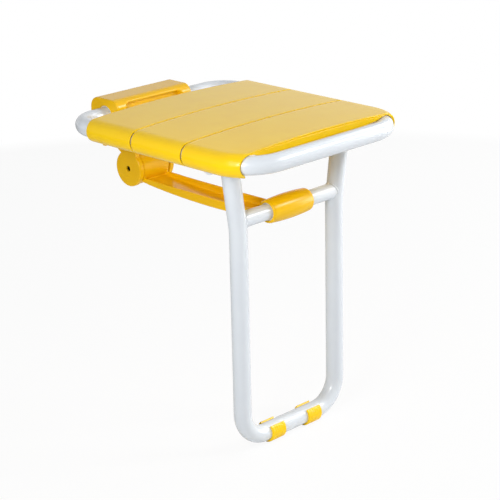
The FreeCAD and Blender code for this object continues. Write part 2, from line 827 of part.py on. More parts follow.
def leg_pivot_bolt(side):
    """The bolt through one leg top into its lug."""
    seat = seat_shift + side * (leg_top_x - washer_start - washer_wall)
    start = seat - side * bolt_head
    head = rod(start, seat, leg_y, leg_pivot_z, bolt_head_r)
    head = head.cut(hex_socket(start, leg_y, leg_pivot_z, bolt_socket, side * bolt_head / 2))
    return head.fuse(rod(seat, seat_shift + side * bolt_tip, leg_y, leg_pivot_z, bolt_r))


def pivot_washers():
    """A washer on each side of both leg tops."""
    washers = []
    for side in (-1, 1):
        for start in (leg_top_x - washer_start - washer_wall, leg_top_x + washer_start):
            x = seat_shift + side * start
            washers.append(ring(x, x + side * washer_wall, leg_y, leg_pivot_z,
                                bolt_r + thread_gap, washer_r))
    return Part.Compound(washers)


def foot_clip(side):
    """A C-shaped clip under the bottom tube, open on top, with fine grooves round it."""
    x = seat_shift + side * clip_spacing / 2
    half = clip_width / 2
    clip = ring(x - half, x + half, leg_y, bottom_z, tube_r, clip_r)
    rise = 2 * clip_r
    spread = rise * math.tan(math.radians(clip_opening / 2))
    clip = clip.cut(plate([(leg_y, bottom_z), (leg_y - spread, bottom_z + rise),
                           (leg_y + spread, bottom_z + rise)], x - half, x + half))
    count = int(clip_width / groove_pitch) - 1
    for i in range(count):
        place = x + (i - (count - 1) / 2) * groove_pitch - groove_width / 2
        clip = clip.cut(ring(place, place + groove_width, leg_y, bottom_z,
                             clip_r - groove_depth, clip_r + 1))
    return clip


def all_parts():
    """Every node's shape by name."""
    parts = {
        "wall_bracket": wall_bracket(),
        "hinge_cover": hinge_cover(),
        "cover_screws": cover_screws(),
        "arm_pivot_pin": arm_pivot_pin(),
        "link_arm": link_arm(),
        "sleeve_cap": sleeve_cap(),
        "sleeve_screws": sleeve_screws(),
        "seat_loop_tube": seat_loop_tube(),
        "slat_screws": slat_screws(),
        "pivot_washers": pivot_washers(),
        "leg_u_tube": leg_u_tube(),
        "leg_crossbar": leg_crossbar(),
    }
    shell = slat_shell()
    for name, (y0, y1) in zip(("rear", "middle", "front"), slat_edges()):
        parts["slat_" + name] = slat(shell, y0, y1)
    for side, name in SIDES:
        parts["hinge_bush_" + name] = hinge_bush(side)
        parts["pivot_screw_" + name] = pivot_screw(side)
        parts["hub_bush_" + name] = hub_bush(side)
        parts["sleeve_bush_" + name] = sleeve_bush(side)
        parts["leg_lug_" + name] = leg_lug(side)
        parts["leg_pivot_bolt_" + name] = leg_pivot_bolt(side)
        parts["leg_pivot_bush_" + name] = leg_pivot_bush(side)
        parts["leg_end_plug_" + name] = leg_end_plug(side)
        parts["foot_clip_" + name] = foot_clip(side)
    return parts


def print_fold():
    """Prints where the axes lie and how far the seat and legs fold."""
    print("the seat turns on y", hinge_y, "z", hinge_z, "and the legs on y", leg_y, "z", leg_pivot_z)
    print("the arm turns on y", hinge_y, "z", arm_z, "and its sleeve on y", leg_y, "z", bar_z)
    print("the seat folds up by", fold_angle, "degrees")


def main():
    """Writes one STEP file for each node."""
    os.makedirs("parts", exist_ok=True)
    print_fold()
    for name, shape in all_parts().items():
        shape.exportStep("parts/" + name + ".step")
        print(name, len(shape.Solids), "solids", round(shape.Volume), "mm3", shape.isValid())


main()
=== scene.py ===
"""A fold-down wall seat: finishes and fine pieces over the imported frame, with light and camera.

Lengths are in metres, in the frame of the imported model: the wall is the plane Y = 0, and Z is up.
"""

import json
import logging
import math
from dataclasses import dataclass
from enum import Enum
from typing import Sequence

import bmesh
import bpy
from mathutils import Matrix, Vector

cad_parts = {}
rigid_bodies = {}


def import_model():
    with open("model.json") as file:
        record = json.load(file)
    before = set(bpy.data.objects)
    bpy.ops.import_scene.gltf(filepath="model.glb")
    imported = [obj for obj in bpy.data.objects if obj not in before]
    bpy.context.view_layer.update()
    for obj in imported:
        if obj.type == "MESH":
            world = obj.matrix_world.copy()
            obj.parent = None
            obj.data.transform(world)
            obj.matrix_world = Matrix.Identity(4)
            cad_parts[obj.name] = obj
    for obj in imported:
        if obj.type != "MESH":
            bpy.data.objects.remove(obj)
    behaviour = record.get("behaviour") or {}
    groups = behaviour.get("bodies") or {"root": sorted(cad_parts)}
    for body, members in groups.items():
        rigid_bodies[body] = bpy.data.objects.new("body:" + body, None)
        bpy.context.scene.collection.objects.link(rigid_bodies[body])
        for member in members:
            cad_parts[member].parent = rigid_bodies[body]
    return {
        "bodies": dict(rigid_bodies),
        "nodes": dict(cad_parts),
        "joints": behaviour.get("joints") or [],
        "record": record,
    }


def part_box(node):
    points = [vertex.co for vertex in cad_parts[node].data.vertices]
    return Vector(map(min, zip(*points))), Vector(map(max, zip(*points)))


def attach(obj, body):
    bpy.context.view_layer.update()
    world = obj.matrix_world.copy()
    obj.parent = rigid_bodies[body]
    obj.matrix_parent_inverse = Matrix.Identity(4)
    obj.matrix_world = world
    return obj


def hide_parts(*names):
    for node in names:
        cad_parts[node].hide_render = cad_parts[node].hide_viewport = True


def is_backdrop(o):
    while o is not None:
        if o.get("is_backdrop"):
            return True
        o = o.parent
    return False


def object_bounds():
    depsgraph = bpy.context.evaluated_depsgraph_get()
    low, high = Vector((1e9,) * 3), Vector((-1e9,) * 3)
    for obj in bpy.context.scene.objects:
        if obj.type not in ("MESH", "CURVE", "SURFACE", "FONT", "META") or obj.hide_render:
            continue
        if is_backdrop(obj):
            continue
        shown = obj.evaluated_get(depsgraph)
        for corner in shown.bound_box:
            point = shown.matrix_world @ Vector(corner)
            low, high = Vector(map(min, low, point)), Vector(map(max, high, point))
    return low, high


LOG = logging.getLogger("wall_seat")
Colour = tuple[float, float, float]
Place = tuple[float, float]
Socket = bpy.types.NodeSocket
MERGE_DISTANCE = 1e-6
WHITE = (1.0, 1.0, 1.0, 1.0)
QUIET_NOISE = (0.35, 0.65)
CLOUD_DETAIL = 3.0
HAZE_DETAIL = 4.0
HAZE_FINENESS = 4


class Body(str, Enum):
    """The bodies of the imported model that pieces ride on."""

    BRACKET = "bracket"
    SEAT = "seat"
    ARM = "arm"
    LEGS = "legs"


class Slot(str, Enum):
    """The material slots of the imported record."""

    YELLOW = "yellow_plastic"
    WHITE = "white_tube"
    STEEL = "screw_steel"
    NYLON = "nylon"
    WHITE_PLASTIC = "white_plastic"


class Kind(str, Enum):
    """The socket types of the geometry trees' inputs."""

    METRES = "NodeSocketFloat"
    COUNT = "NodeSocketInt"
    SWITCH = "NodeSocketBool"
    TURN = "NodeSocketVector"
    OBJECT = "NodeSocketObject"
    MATERIAL = "NodeSocketMaterial"


class Graph:
    """Adds nodes to a shader or geometry tree, each with its inputs in one call."""

    def __init__(self, tree: bpy.types.NodeTree) -> None:
        """Starts from an empty tree."""
        tree.nodes.clear()
        self.tree = tree

    def node(self, kind: str, inputs: dict | None = None, **settings: object) -> bpy.types.Node:
        """Adds one node.

        Args:
            kind: The node's type name.
            inputs: Values or sockets to link, by the input's name or index.
            **settings: Properties of the node, set before its inputs.

        Returns:
            The new node.
        """
        made = self.tree.nodes.new(kind)
        for name, value in settings.items():
            setattr(made, name, value)
        for key, value in (inputs or {}).items():
            if isinstance(value, Socket):
                self.tree.links.new(value, made.inputs[key])
            else:
                made.inputs[key].default_value = value
        return made

    def first(self, kind: str, inputs: dict | None = None, **settings: object) -> Socket:
        """Adds one node and returns its first output."""
        return self.node(kind, inputs, **settings).outputs[0]

    def math(self, operation: str, *values: object) -> Socket:
        """Adds a Math node.

        Args:
            operation: The name of the operation.
            *values: Numbers or sockets, in the node's order.

        Returns:
            The result's socket.
        """
        return self.first("ShaderNodeMath", dict(enumerate(values)), operation=operation)

    def noise(self, place: Socket, scale: float, detail: float = 2.0) -> Socket:
        """Adds a noise over a place, and returns its value from 0 to 1."""
        inputs = {"Vector": place, "Scale": scale, "Detail": detail}
        return self.node("ShaderNodeTexNoise", inputs).outputs["Fac"]

    def remap(self, value: Socket, low: float, high: float) -> Socket:
        """Spreads the middle of a noise over a range.

        Args:
            value: The noise's socket.
            low: What the noise's quiet low becomes.
            high: What its quiet high becomes.

        Returns:
            The result's socket.
        """
        inputs = {"Value": value, "From Min": QUIET_NOISE[0], "From Max": QUIET_NOISE[1],
                  "To Min": low, "To Max": high}
        return self.node("ShaderNodeMapRange", inputs).outputs["Result"]

    def blend(self, share: Socket, tone: Colour, deep_tone: Colour) -> Socket:
        """Mixes two colours by a share, and returns the colour's socket."""
        inputs = {0: share, 6: (*tone, 1.0), 7: (*deep_tone, 1.0)}
        return self.node("ShaderNodeMix", inputs, data_type="RGBA").outputs[2]

    def bump(self, height: Socket, depth: float, strength: float = 1.0) -> Socket:
        """Turns a height from 0 to 1 into a normal, with its depth in metres."""
        inputs = {"Height": height, "Distance": depth, "Strength": strength}
        return self.first("ShaderNodeBump", inputs)


def linear(red: int, green: int, blue: int) -> Colour:
    """A colour given as 0 to 255 in sRGB, in the linear values that nodes take."""
    shares = [c / 255 for c in (red, green, blue)]
    return tuple(c / 12.92 if c <= 0.04045 else ((c + 0.055) / 1.055) ** 2.4 for c in shares)


@dataclass(frozen=True)
class Finish:
    """A surface: two close tones, two close roughnesses, and a fine grain where it has one.

    Attributes:
        name: The material's name.
        slot: The slot of the record that it fills. It is not used.
        tone: Its main colour.
        deep_tone: The colour of its darker clouds.
        roughness: Its lowest and highest roughness.
        grain_scale: Grains to a metre.
        grain_depth: The grain's depth in metres, or 0 on a smooth finish.
        cloud_scale: Clouds of colour to a metre. The haze of roughness is finer.
        metallic: 1 on bare metal.
        ior: Its index of refraction.
        specular: How strongly it mirrors, where 0.5 is as its index gives.
        coat: How much clear coat it has.
        coat_roughness: The coat's roughness.
    """

    name: str
    slot: Slot
    tone: Colour
    deep_tone: Colour
    roughness: tuple[float, float]
    grain_scale: float = 0.0
    grain_depth: float = 0.0
    cloud_scale: float = 30.0
    metallic: float = 0.0
    ior: float = 1.5
    specular: float = 0.5
    coat: float = 0.0
    coat_roughness: float = 0.1

    def material(self) -> bpy.types.Material:
        """Makes the finish's material, or finds it where it was made before.

        Returns:
            The material.
        """
        found = bpy.data.materials.get(self.name)
        if found:
            return found
        made = bpy.data.materials.new(self.name)
        made.use_nodes = True
        graph = Graph(made.node_tree)
        place = graph.node("ShaderNodeTexCoord").outputs["Object"]
        cloud = graph.noise(place, self.cloud_scale, CLOUD_DETAIL)
        haze = graph.noise(place, self.cloud_scale * HAZE_FINENESS, HAZE_DETAIL)
        shader = graph.node("ShaderNodeBsdfPrincipled", {
            "Base Color": graph.blend(graph.remap(cloud, 0.0, 1.0), self.tone, self.deep_tone),
            "Roughness": graph.remap(haze, *self.roughness),
            "Metallic": self.metallic,
            "IOR": self.ior,
            "Specular IOR Level": self.specular,
            "Coat Weight": self.coat,
            "Coat Roughness": self.coat_roughness,
        })
        if self.grain_depth:
            grain = graph.noise(place, self.grain_scale, CLOUD_DETAIL)
            relief = graph.bump(grain, self.grain_depth)
            made.node_tree.links.new(relief, shader.inputs["Normal"])
        graph.node("ShaderNodeOutputMaterial", {"Surface": shader.outputs["BSDF"]})
        return made


MOULDED_YELLOW = Finish("moulded_yellow", Slot.YELLOW, linear(252, 209, 14), linear(250, 205, 13),
                        roughness=(0.2, 0.23), ior=1.45, specular=0.29)
# A darker, more orange copy of the moulded yellow for the hinge block and the arm: painted shade,
# standing in for the shade these parts sit in under the seat.
PAINTED_SHADE_YELLOW = Finish("painted_shade_yellow", Slot.YELLOW, linear(243, 192, 11), linear(241, 188, 10),
                     roughness=(0.2, 0.24), ior=1.45, specular=0.28)
POWDER_WHITE = Finish("powder_white", Slot.WHITE, linear(222, 228, 234), linear(219, 225, 232),
                      roughness=(0.25, 0.27), coat=0.3, coat_roughness=0.12)
PLATED_STEEL = Finish("plated_steel", Slot.STEEL, linear(196, 196, 192), linear(170, 170, 168),
                      roughness=(0.28, 0.45), grain_scale=1800.0, grain_depth=0.000006,
                      metallic=1.0)
BLACK_STEEL = Finish("black_steel", Slot.STEEL, linear(46, 44, 42), linear(34, 32, 31),
                     roughness=(0.35, 0.5), grain_scale=1800.0, grain_depth=0.000005,
                     metallic=1.0)
BEARING_NYLON = Finish("bearing_nylon", Slot.NYLON, linear(214, 211, 200), linear(200, 197, 186),
                       roughness=(0.5, 0.62), grain_scale=1500.0, grain_depth=0.000004)
MOULDED_WHITE = Finish("moulded_white", Slot.WHITE_PLASTIC, linear(228, 229, 228),
                       linear(219, 221, 221), roughness=(0.35, 0.45), grain_scale=1500.0,
                       grain_depth=0.000003)

DRESSED = (
    # The hinge block wears the darker copy of the yellow, whose colour is painted shade.
    (PAINTED_SHADE_YELLOW, ("wall_bracket", "hinge_cover")),
    (POWDER_WHITE, ("leg_lug_left", "leg_lug_right")),
    (PLATED_STEEL, ("arm_pivot_pin", "leg_pivot_bolt_left", "leg_pivot_bolt_right")),
    (BLACK_STEEL, ("pivot_screw_left", "pivot_screw_right")),
    (BEARING_NYLON, ("hinge_bush_left", "hinge_bush_right", "hub_bush_left", "hub_bush_right",
                     "sleeve_bush_left", "sleeve_bush_right", "leg_pivot_bush_left",
                     "leg_pivot_bush_right", "pivot_washers")),
    (MOULDED_WHITE, ("leg_end_plug_left", "leg_end_plug_right")),
)


class Frame:
    """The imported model: its nodes, and the pieces that take the place of some of them."""

    def __init__(self) -> None:
        """Loads the model and keeps its box."""
        self.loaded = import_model()
        self.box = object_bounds()

    def dress(self, finish: Finish, nodes: Sequence[str]) -> None:
        """Gives CAD nodes a finish and leaves their shape.

        Args:
            finish: The finish.
            nodes: The nodes' names.
        """
        for node in nodes:
            mesh = self.loaded["nodes"][node].data
            mesh.materials.clear()
            mesh.materials.append(finish.material())
            LOG.info("dressed %s in %s", node, finish.name)

    def merged(self, node: str) -> bmesh.types.BMesh:
        """Copies a CAD node's mesh with its loose triangles joined.

        Args:
            node: The node's name.

        Returns:
            The copy, as a mesh in the making that the caller frees.
        """
        build = bmesh.new()
        build.from_mesh(self.loaded["nodes"][node].data)
        bmesh.ops.remove_doubles(build, verts=build.verts, dist=MERGE_DISTANCE)
        return build

    def solids(self, node: str) -> list[tuple[Vector, Vector]]:
        """Finds the separate solids in a CAD node.

        Args:
            node: The node's name.

        Returns:
            The lowest and highest corner of each solid, in order along X.
        """
        build = self.merged(node)
        left = set(build.verts)
        boxes = []
        while left:
            reached, todo = set(), [left.pop()]
            while todo:
                here = todo.pop()
                reached.add(here)
                new = {edge.other_vert(here) for edge in here.link_edges} & left
                left -= new
                todo.extend(new)
            places = [vert.co for vert in reached]
            boxes.append((Vector(map(min, zip(*places))), Vector(map(max, zip(*places)))))
        build.free()
        return sorted(boxes, key=lambda box: tuple(box[0]))

    def place(self, piece: bpy.types.Object, body: Body, finish: Finish, *nodes: str) -> None:
        """Puts a finished piece on its body in place of CAD nodes.

        Args:
            piece: The piece, with its place in its mesh.
            body: The body that it rides on.
            finish: Its finish. It is not used.
            *nodes: The CAD nodes that it stands for.
        """
        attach(piece, body.value)
        if nodes:
            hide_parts(*nodes)
        LOG.info("made %s: %d faces on %s", piece.name, len(piece.data.polygons), body.value)


def new_tree(name: str, sockets: Sequence[tuple[str, Kind, object]]
             ) -> tuple[Graph, bpy.types.NodeOutputs]:
    """Starts a geometry tree with named inputs.

    Args:
        name: The tree's name.
        sockets: The name, socket type and default of each input after the geometry.

    Returns:
        The graph, and the sockets of its inputs by name.
    """
    tree = bpy.data.node_groups.new(name, "GeometryNodeTree")
    graph = Graph(tree)
    for way in ("INPUT", "OUTPUT"):
        tree.interface.new_socket("Geometry", in_out=way, socket_type="NodeSocketGeometry")
    for label, kind, default in sockets:
        socket = tree.interface.new_socket(label, in_out="INPUT", socket_type=kind.value)
        if default is not None:
            socket.default_value = default
    return graph, graph.node("NodeGroupInput").outputs


def end_tree(graph: Graph, geometry: Socket, material: Socket) -> bpy.types.NodeTree:
    """Ends a geometry tree: smooth, realized and with its material.

    Args:
        graph: The tree's graph.
        geometry: The geometry to give out.
        material: The input that holds the material.

    Returns:
        The tree.
    """
    smooth = graph.first("GeometryNodeSetShadeSmooth", {"Geometry": geometry})
    real = graph.first("GeometryNodeRealizeInstances", {"Geometry": smooth})
    dressed = graph.first("GeometryNodeSetMaterial", {"Geometry": real, "Material": material})
    graph.node("NodeGroupOutput", {"Geometry": dressed})
    return graph.tree


def bake(source: bpy.types.Object, tree: bpy.types.NodeTree, values: dict,
         name: str) -> bpy.types.Object:
    """Runs a geometry tree on an object and keeps the result as a plain mesh.

    Args:
        source: The object that the tree starts from. It is removed.
        tree: The geometry tree.
        values: The tree's inputs by name.
        name: The new piece's name.

    Returns:
        The new piece.
    """
    modifier = source.modifiers.new(name, "NODES")
    modifier.node_group = tree
    for item in tree.interface.items_tree:
        if item.in_out == "INPUT" and item.name in values:
            modifier[item.identifier] = values[item.name]
    return settle(source, name)


def settled_mesh(source: bpy.types.Object) -> bpy.types.Mesh:
    """Applies an object's modifiers and takes them off it.

    Args:
        source: The object.

    Returns:
        The shape that the modifiers gave it, as a plain mesh.
    """
    graph = bpy.context.evaluated_depsgraph_get()
    mesh = bpy.data.meshes.new_from_object(source.evaluated_get(graph))
    source.modifiers.clear()
    return mesh


def settle(source: bpy.types.Object, name: str) -> bpy.types.Object:
    """Turns an object with modifiers into a plain piece.

    Args:
        source: The object. It is removed.
        name: The new piece's name.

    Returns:
        The new piece.
    """
    mesh = settled_mesh(source)
    bpy.data.objects.remove(source)
    mesh.name = name
    return add(name, mesh)


def add(name: str, data: bpy.types.ID) -> bpy.types.Object:
    """Makes an object and puts it in the scene.

    Args:
        name: Its name.
        data: Its mesh, curve, light or camera.

    Returns:
        The object.
    """
    made = bpy.data.objects.new(name, data)
    bpy.context.scene.collection.objects.link(made)
    return made


def poly_line(name: str, points: Sequence[Vector], radii: Sequence[float],
              closed: bool) -> bpy.types.Object:
    """A straight-sided curve whose points hold the radius that each corner is bent to.

    Args:
        name: The curve's name.
        points: Its corners.
        radii: The bend radius at each corner.
        closed: Whether the last point joins the first.

    Returns:
        The curve object.
    """
    curve = bpy.data.curves.new(name, "CURVE")
    curve.dimensions = "3D"
    spline = curve.splines.new("POLY")
    spline.points.add(len(points) - 1)
    for point, place, radius in zip(spline.points, points, radii):
        point.co = (*place, 1.0)
        point.radius = radius
    spline.use_cyclic_u = closed
    return add(name, curve)


class BentTube:
    """The geometry tree of a round tube along a line with bent corners."""

    BEND_STEPS = 24
    ROUND_STEPS = 64

    def __init__(self) -> None:
        """Builds the tree."""
        sockets = [("Tube radius", Kind.METRES, 0.0125),
                   ("Bend steps", Kind.COUNT, self.BEND_STEPS),
                   ("Round steps", Kind.COUNT, self.ROUND_STEPS),
                   ("Closed ends", Kind.SWITCH, True), ("Material", Kind.MATERIAL, None)]
        graph, size = new_tree("bent_tube", sockets)
        bend = graph.first("GeometryNodeInputRadius")
        line = graph.first("GeometryNodeFilletCurve", {
            "Curve": size["Geometry"], "Count": size["Bend steps"], "Radius": bend,
            "Limit Radius": True}, mode="POLY")
        even = graph.first("GeometryNodeSetCurveRadius", {"Curve": line, "Radius": 1.0})
        ring = graph.first("GeometryNodeCurvePrimitiveCircle", {
            "Resolution": size["Round steps"], "Radius": size["Tube radius"]})
        tube = graph.first("GeometryNodeCurveToMesh", {
            "Curve": even, "Profile Curve": ring, "Fill Caps": size["Closed ends"]})
        self.tree = end_tree(graph, tube, size["Material"])

    def make(self, name: str, line: bpy.types.Object, radius: float,
             finish: Finish) -> bpy.types.Object:
        """Sweeps the tube along a line.

        Args:
            name: The piece's name.
            line: The line, which is used up.
            radius: The tube's outer radius.
            finish: Its finish.

        Returns:
            The tube.
        """
        values = {"Tube radius": radius, "Bend steps": self.BEND_STEPS,
                  "Round steps": self.ROUND_STEPS, "Closed ends": True,
                  "Material": finish.material()}
        return bake(line, self.tree, values, name)


@dataclass(frozen=True)
class LoopGauge:
    """The seat loop as its CAD node has it.

    Attributes:
        tube: The tube's outer radius.
        across: The loop's middle along X.
        level: The height of the tube's axis.
        half_width: From the middle to the axes of the side tubes.
        front: The front tube's axis along Y.
        rear: The rear tube's axis along Y, about which the seat turns.
    """

    tube: float
    across: float
    level: float
    half_width: float
    front: float
    rear: float

    @classmethod
    def read(cls) -> "LoopGauge":
        """Takes the gauge from the node's box.

        Returns:
            The gauge.
        """
        low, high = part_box("seat_loop_tube")
        tube = (high.z - low.z) / 2
        return cls(tube, (low.x + high.x) / 2, low.z + tube, (high.x - low.x) / 2 - tube,
                   low.y + tube, high.y - tube)

    def hinge(self) -> Vector:
        """The middle of the rear tube, where the seat turns."""
        return Vector((self.across, self.rear, self.level))


@dataclass(frozen=True)
class SeatLoop:
    """The closed loop of tube that carries the slats, with the bends of its corners."""

    rear_bend: float = 0.038
    front_bend: float = 0.052

    def build(self, frame: Frame, gauge: LoopGauge, tube: BentTube) -> None:
        """Sweeps the loop and puts it on the seat.

        Args:
            frame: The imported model.
            gauge: The loop's gauge.
            tube: The tree that sweeps tubes.
        """
        left, right = gauge.across - gauge.half_width, gauge.across + gauge.half_width
        corners = [(left, gauge.rear), (left, gauge.front),
                   (right, gauge.front), (right, gauge.rear)]
        points = [Vector((x, y, gauge.level)) for x, y in corners]
        bends = [self.rear_bend, self.front_bend, self.front_bend, self.rear_bend]
        line = poly_line("loop_line", points, bends, True)
        piece = tube.make("seat_loop", line, gauge.tube, POWDER_WHITE)
        frame.place(piece, Body.SEAT, POWDER_WHITE, "seat_loop_tube")


def curve_of(name: str, points: Sequence[Vector], closed: bool) -> bpy.types.Object:
    """A line through close points, which isn't bent at its corners."""
    return poly_line(name, points, [1.0] * len(points), closed)


def arc(centre: Place, radius: float, start: float, end: float, steps: int) -> list[Place]:
    """Points on an arc, both ends included.

    Args:
        centre: The arc's centre in its plane.
        radius: Its radius.
        start: The angle of its first point, in degrees.
        end: The angle of its last point, in degrees.
        steps: How many steps lie between them.

    Returns:
        The points in order.
    """
    turns = [math.radians(start + (end - start) * i / steps) for i in range(steps + 1)]
    return [(centre[0] + radius * math.cos(t), centre[1] + radius * math.sin(t)) for t in turns]


def meshed(name: str, build: bmesh.types.BMesh) -> bpy.types.Mesh:
    """Turns a mesh in the making into a mesh.

    Args:
        name: The mesh's name.
        build: The mesh in the making, which is used up.

    Returns:
        The mesh.
    """
    mesh = bpy.data.meshes.new(name)
    build.to_mesh(mesh)
    build.free()
    return mesh


def mesh_of(name: str, build: bmesh.types.BMesh) -> bpy.types.Object:
    """Ends a mesh in the making as a smooth object with its faces outwards.

    Args:
        name: The object's name.
        build: The mesh in the making, which is used up.

    Returns:
        The object.
    """
    bmesh.ops.recalc_face_normals(build, faces=build.faces)
    for face in build.faces:
        face.smooth = True
    return add(name, meshed(name, build))


def loft(build: bmesh.types.BMesh, rings: Sequence[Sequence[Vector]]) -> None:
    """Joins rings of points into a skin that is closed at both ends.

    Args:
        build: The mesh in the making.
        rings: Closed rings of equal count, in order.
    """
    made = [[build.verts.new(point) for point in ring] for ring in rings]
    for first, second in zip(made, made[1:]):
        for i in range(len(first)):
            j = (i + 1) % len(first)
            build.faces.new((first[i], first[j], second[j], second[i]))
    build.faces.new(list(reversed(made[0])))
    build.faces.new(made[-1])


def join(name: str, pieces: Sequence[bpy.types.Object]) -> bpy.types.Object:
    """Joins pieces into one with the first one's material.

    Args:
        name: The new piece's name.
        pieces: The pieces. They are removed.

    Returns:
        The new piece.
    """
    build = bmesh.new()
    for piece in pieces:
        build.from_mesh(piece.data)
    material = pieces[0].data.materials[0]
    for piece in pieces:
        bpy.data.objects.remove(piece)
    mesh = meshed(name, build)
    mesh.materials.append(material)
    return add(name, mesh)


class SlatShell:
    """The geometry tree of a slat's shell: a rim swept across the seat and bent with the loop."""

    def __init__(self) -> None:
        """Builds the tree."""
        sockets = [("Outline", Kind.OBJECT, None), ("Half width", Kind.METRES, 0.1455),
                   ("Front bend", Kind.METRES, 0.052), ("Bend start", Kind.METRES, -0.3),
                   ("Middle", Kind.METRES, 0.0), ("Half depth", Kind.METRES, 0.048),
                   ("Rear corner", Kind.METRES, 0.004), ("Front corner", Kind.METRES, 0.004),
                   ("Edge", Kind.METRES, 0.0015), ("Across", Kind.METRES, 0.0),
                   ("Material", Kind.MATERIAL, None)]
        graph, size = new_tree("slat_shell", sockets)
        path, place, run = self.measured_path(graph, size["Geometry"])
        rim = graph.node("GeometryNodeObjectInfo", {"Object": size["Outline"]})
        shell = graph.first("GeometryNodeCurveToMesh", {
            "Curve": path, "Profile Curve": rim.outputs["Geometry"], "Fill Caps": True})
        position = graph.first("GeometryNodeInputPosition")
        here = graph.node("ShaderNodeSeparateXYZ", {0: position}).outputs
        line = graph.node("ShaderNodeSeparateXYZ", {0: place}).outputs
        pinch = self.rounding(graph, run, size["Edge"])
        x = self.toward(graph, line["X"], here["X"], pinch)
        z = self.toward(graph, line["Z"], here["Z"], pinch)
        y = self.clipped_depth(graph, here["Y"], run, size)
        x = self.bent(graph, x, y, size)
        moved = graph.first("ShaderNodeCombineXYZ", {"X": x, "Y": y, "Z": z})
        bent = graph.first("GeometryNodeSetPosition", {"Geometry": shell, "Position": moved})
        self.tree = end_tree(graph, bent, size["Material"])

    @staticmethod
    def measured_path(graph: Graph, curve: Socket) -> tuple[Socket, Socket, Socket]:
        """Keeps each path point's place and its distance from the nearer end.

        Args:
            graph: The graph.
            curve: The section's middle line.

        Returns:
            The path, the place on it and the distance.
        """
        length = graph.first("GeometryNodeCurveLength", {"Curve": curve})
        start = graph.node("GeometryNodeSplineParameter").outputs["Length"]
        run = graph.math("MINIMUM", start, graph.math("SUBTRACT", length, start))
        keep = graph.node("GeometryNodeCaptureAttribute", domain="POINT")
        keep.capture_items.new("VECTOR", "Place")
        keep.capture_items.new("FLOAT", "Run")
        place = graph.first("GeometryNodeInputPosition")
        for label, value in (("Geometry", curve), ("Place", place), ("Run", run)):
            graph.tree.links.new(value, keep.inputs[label])
        path = graph.first("GeometryNodeSetCurveNormal", {
            "Curve": keep.outputs["Geometry"], "Normal": (0.0, 1.0, 0.0)}, mode="FREE")
        return path, keep.outputs["Place"], keep.outputs["Run"]

    @staticmethod
    def rounding(graph: Graph, run: Socket, radius: Socket) -> Socket:
        """Gives how thick a half round is at a distance from its tip.

        Args:
            graph: The graph.
            run: The distance.
            radius: The round's radius.

        Returns:
            A share, from 0 at the tip to 1 at the radius and beyond.
        """
        share = graph.math("MINIMUM", graph.math("DIVIDE", run, radius), 1.0)
        rest = graph.math("SUBTRACT", 1.0, share)
        return graph.math("SQRT", graph.math("SUBTRACT", 1.0, graph.math("MULTIPLY", rest, rest)))

    @staticmethod
    def toward(graph: Graph, middle: Socket, place: Socket, share: Socket) -> Socket:
        """A coordinate moved towards the middle, with a share of its distance left."""
        return graph.math("MULTIPLY_ADD", graph.math("SUBTRACT", place, middle), share, middle)

    def clipped_depth(self, graph: Graph, y: Socket, run: Socket,
                      size: bpy.types.NodeOutputs) -> Socket:
        """Rounds the skirts' lower corners.

        Args:
            graph: The graph.
            y: The place along Y.
            run: The distance from the nearer end of the section.
            size: The tree's inputs.

        Returns:
            The new place along Y.
        """
        front = graph.math("LESS_THAN", y, size["Middle"])
        change = graph.math("SUBTRACT", size["Front corner"], size["Rear corner"])
        corner = graph.math("MULTIPLY_ADD", front, change, size["Rear corner"])
        left = graph.math("SUBTRACT", 1.0, self.rounding(graph, run, corner))
        lost = graph.math("DIVIDE", graph.math("MULTIPLY", left, corner), size["Half depth"])
        return self.toward(graph, size["Middle"], y, graph.math("SUBTRACT", 1.0, lost))

    @staticmethod
    def bent(graph: Graph, x: Socket, y: Socket, size: bpy.types.NodeOutputs) -> Socket:
        """Draws the sides in where the loop bends to the front.

        Args:
            graph: The graph.
            x: The place across the seat.
            y: The place along Y.
            size: The tree's inputs.

        Returns:
            The new place along X.
        """
        width, bend = size["Half width"], size["Front bend"]
        out = graph.math("ABSOLUTE", x)
        beyond = graph.math("MAXIMUM", graph.math("SUBTRACT", out, width), 0.0)
        share = graph.math("MINIMUM", graph.math("DIVIDE", out, width), 1.0)
        past = graph.math("MAXIMUM", graph.math("SUBTRACT", size["Bend start"], y), 0.0)
        radius = graph.math("ADD", bend, beyond)
        reach = graph.math("SQRT", graph.math("SUBTRACT", graph.math("MULTIPLY", radius, radius),
                                              graph.math("MULTIPLY", past, past)))
        half = graph.math("ADD", graph.math("SUBTRACT", width, bend), reach)
        side = graph.math("MULTIPLY", graph.math("SIGN", x), share)
        return graph.math("MULTIPLY_ADD", side, half, size["Across"])


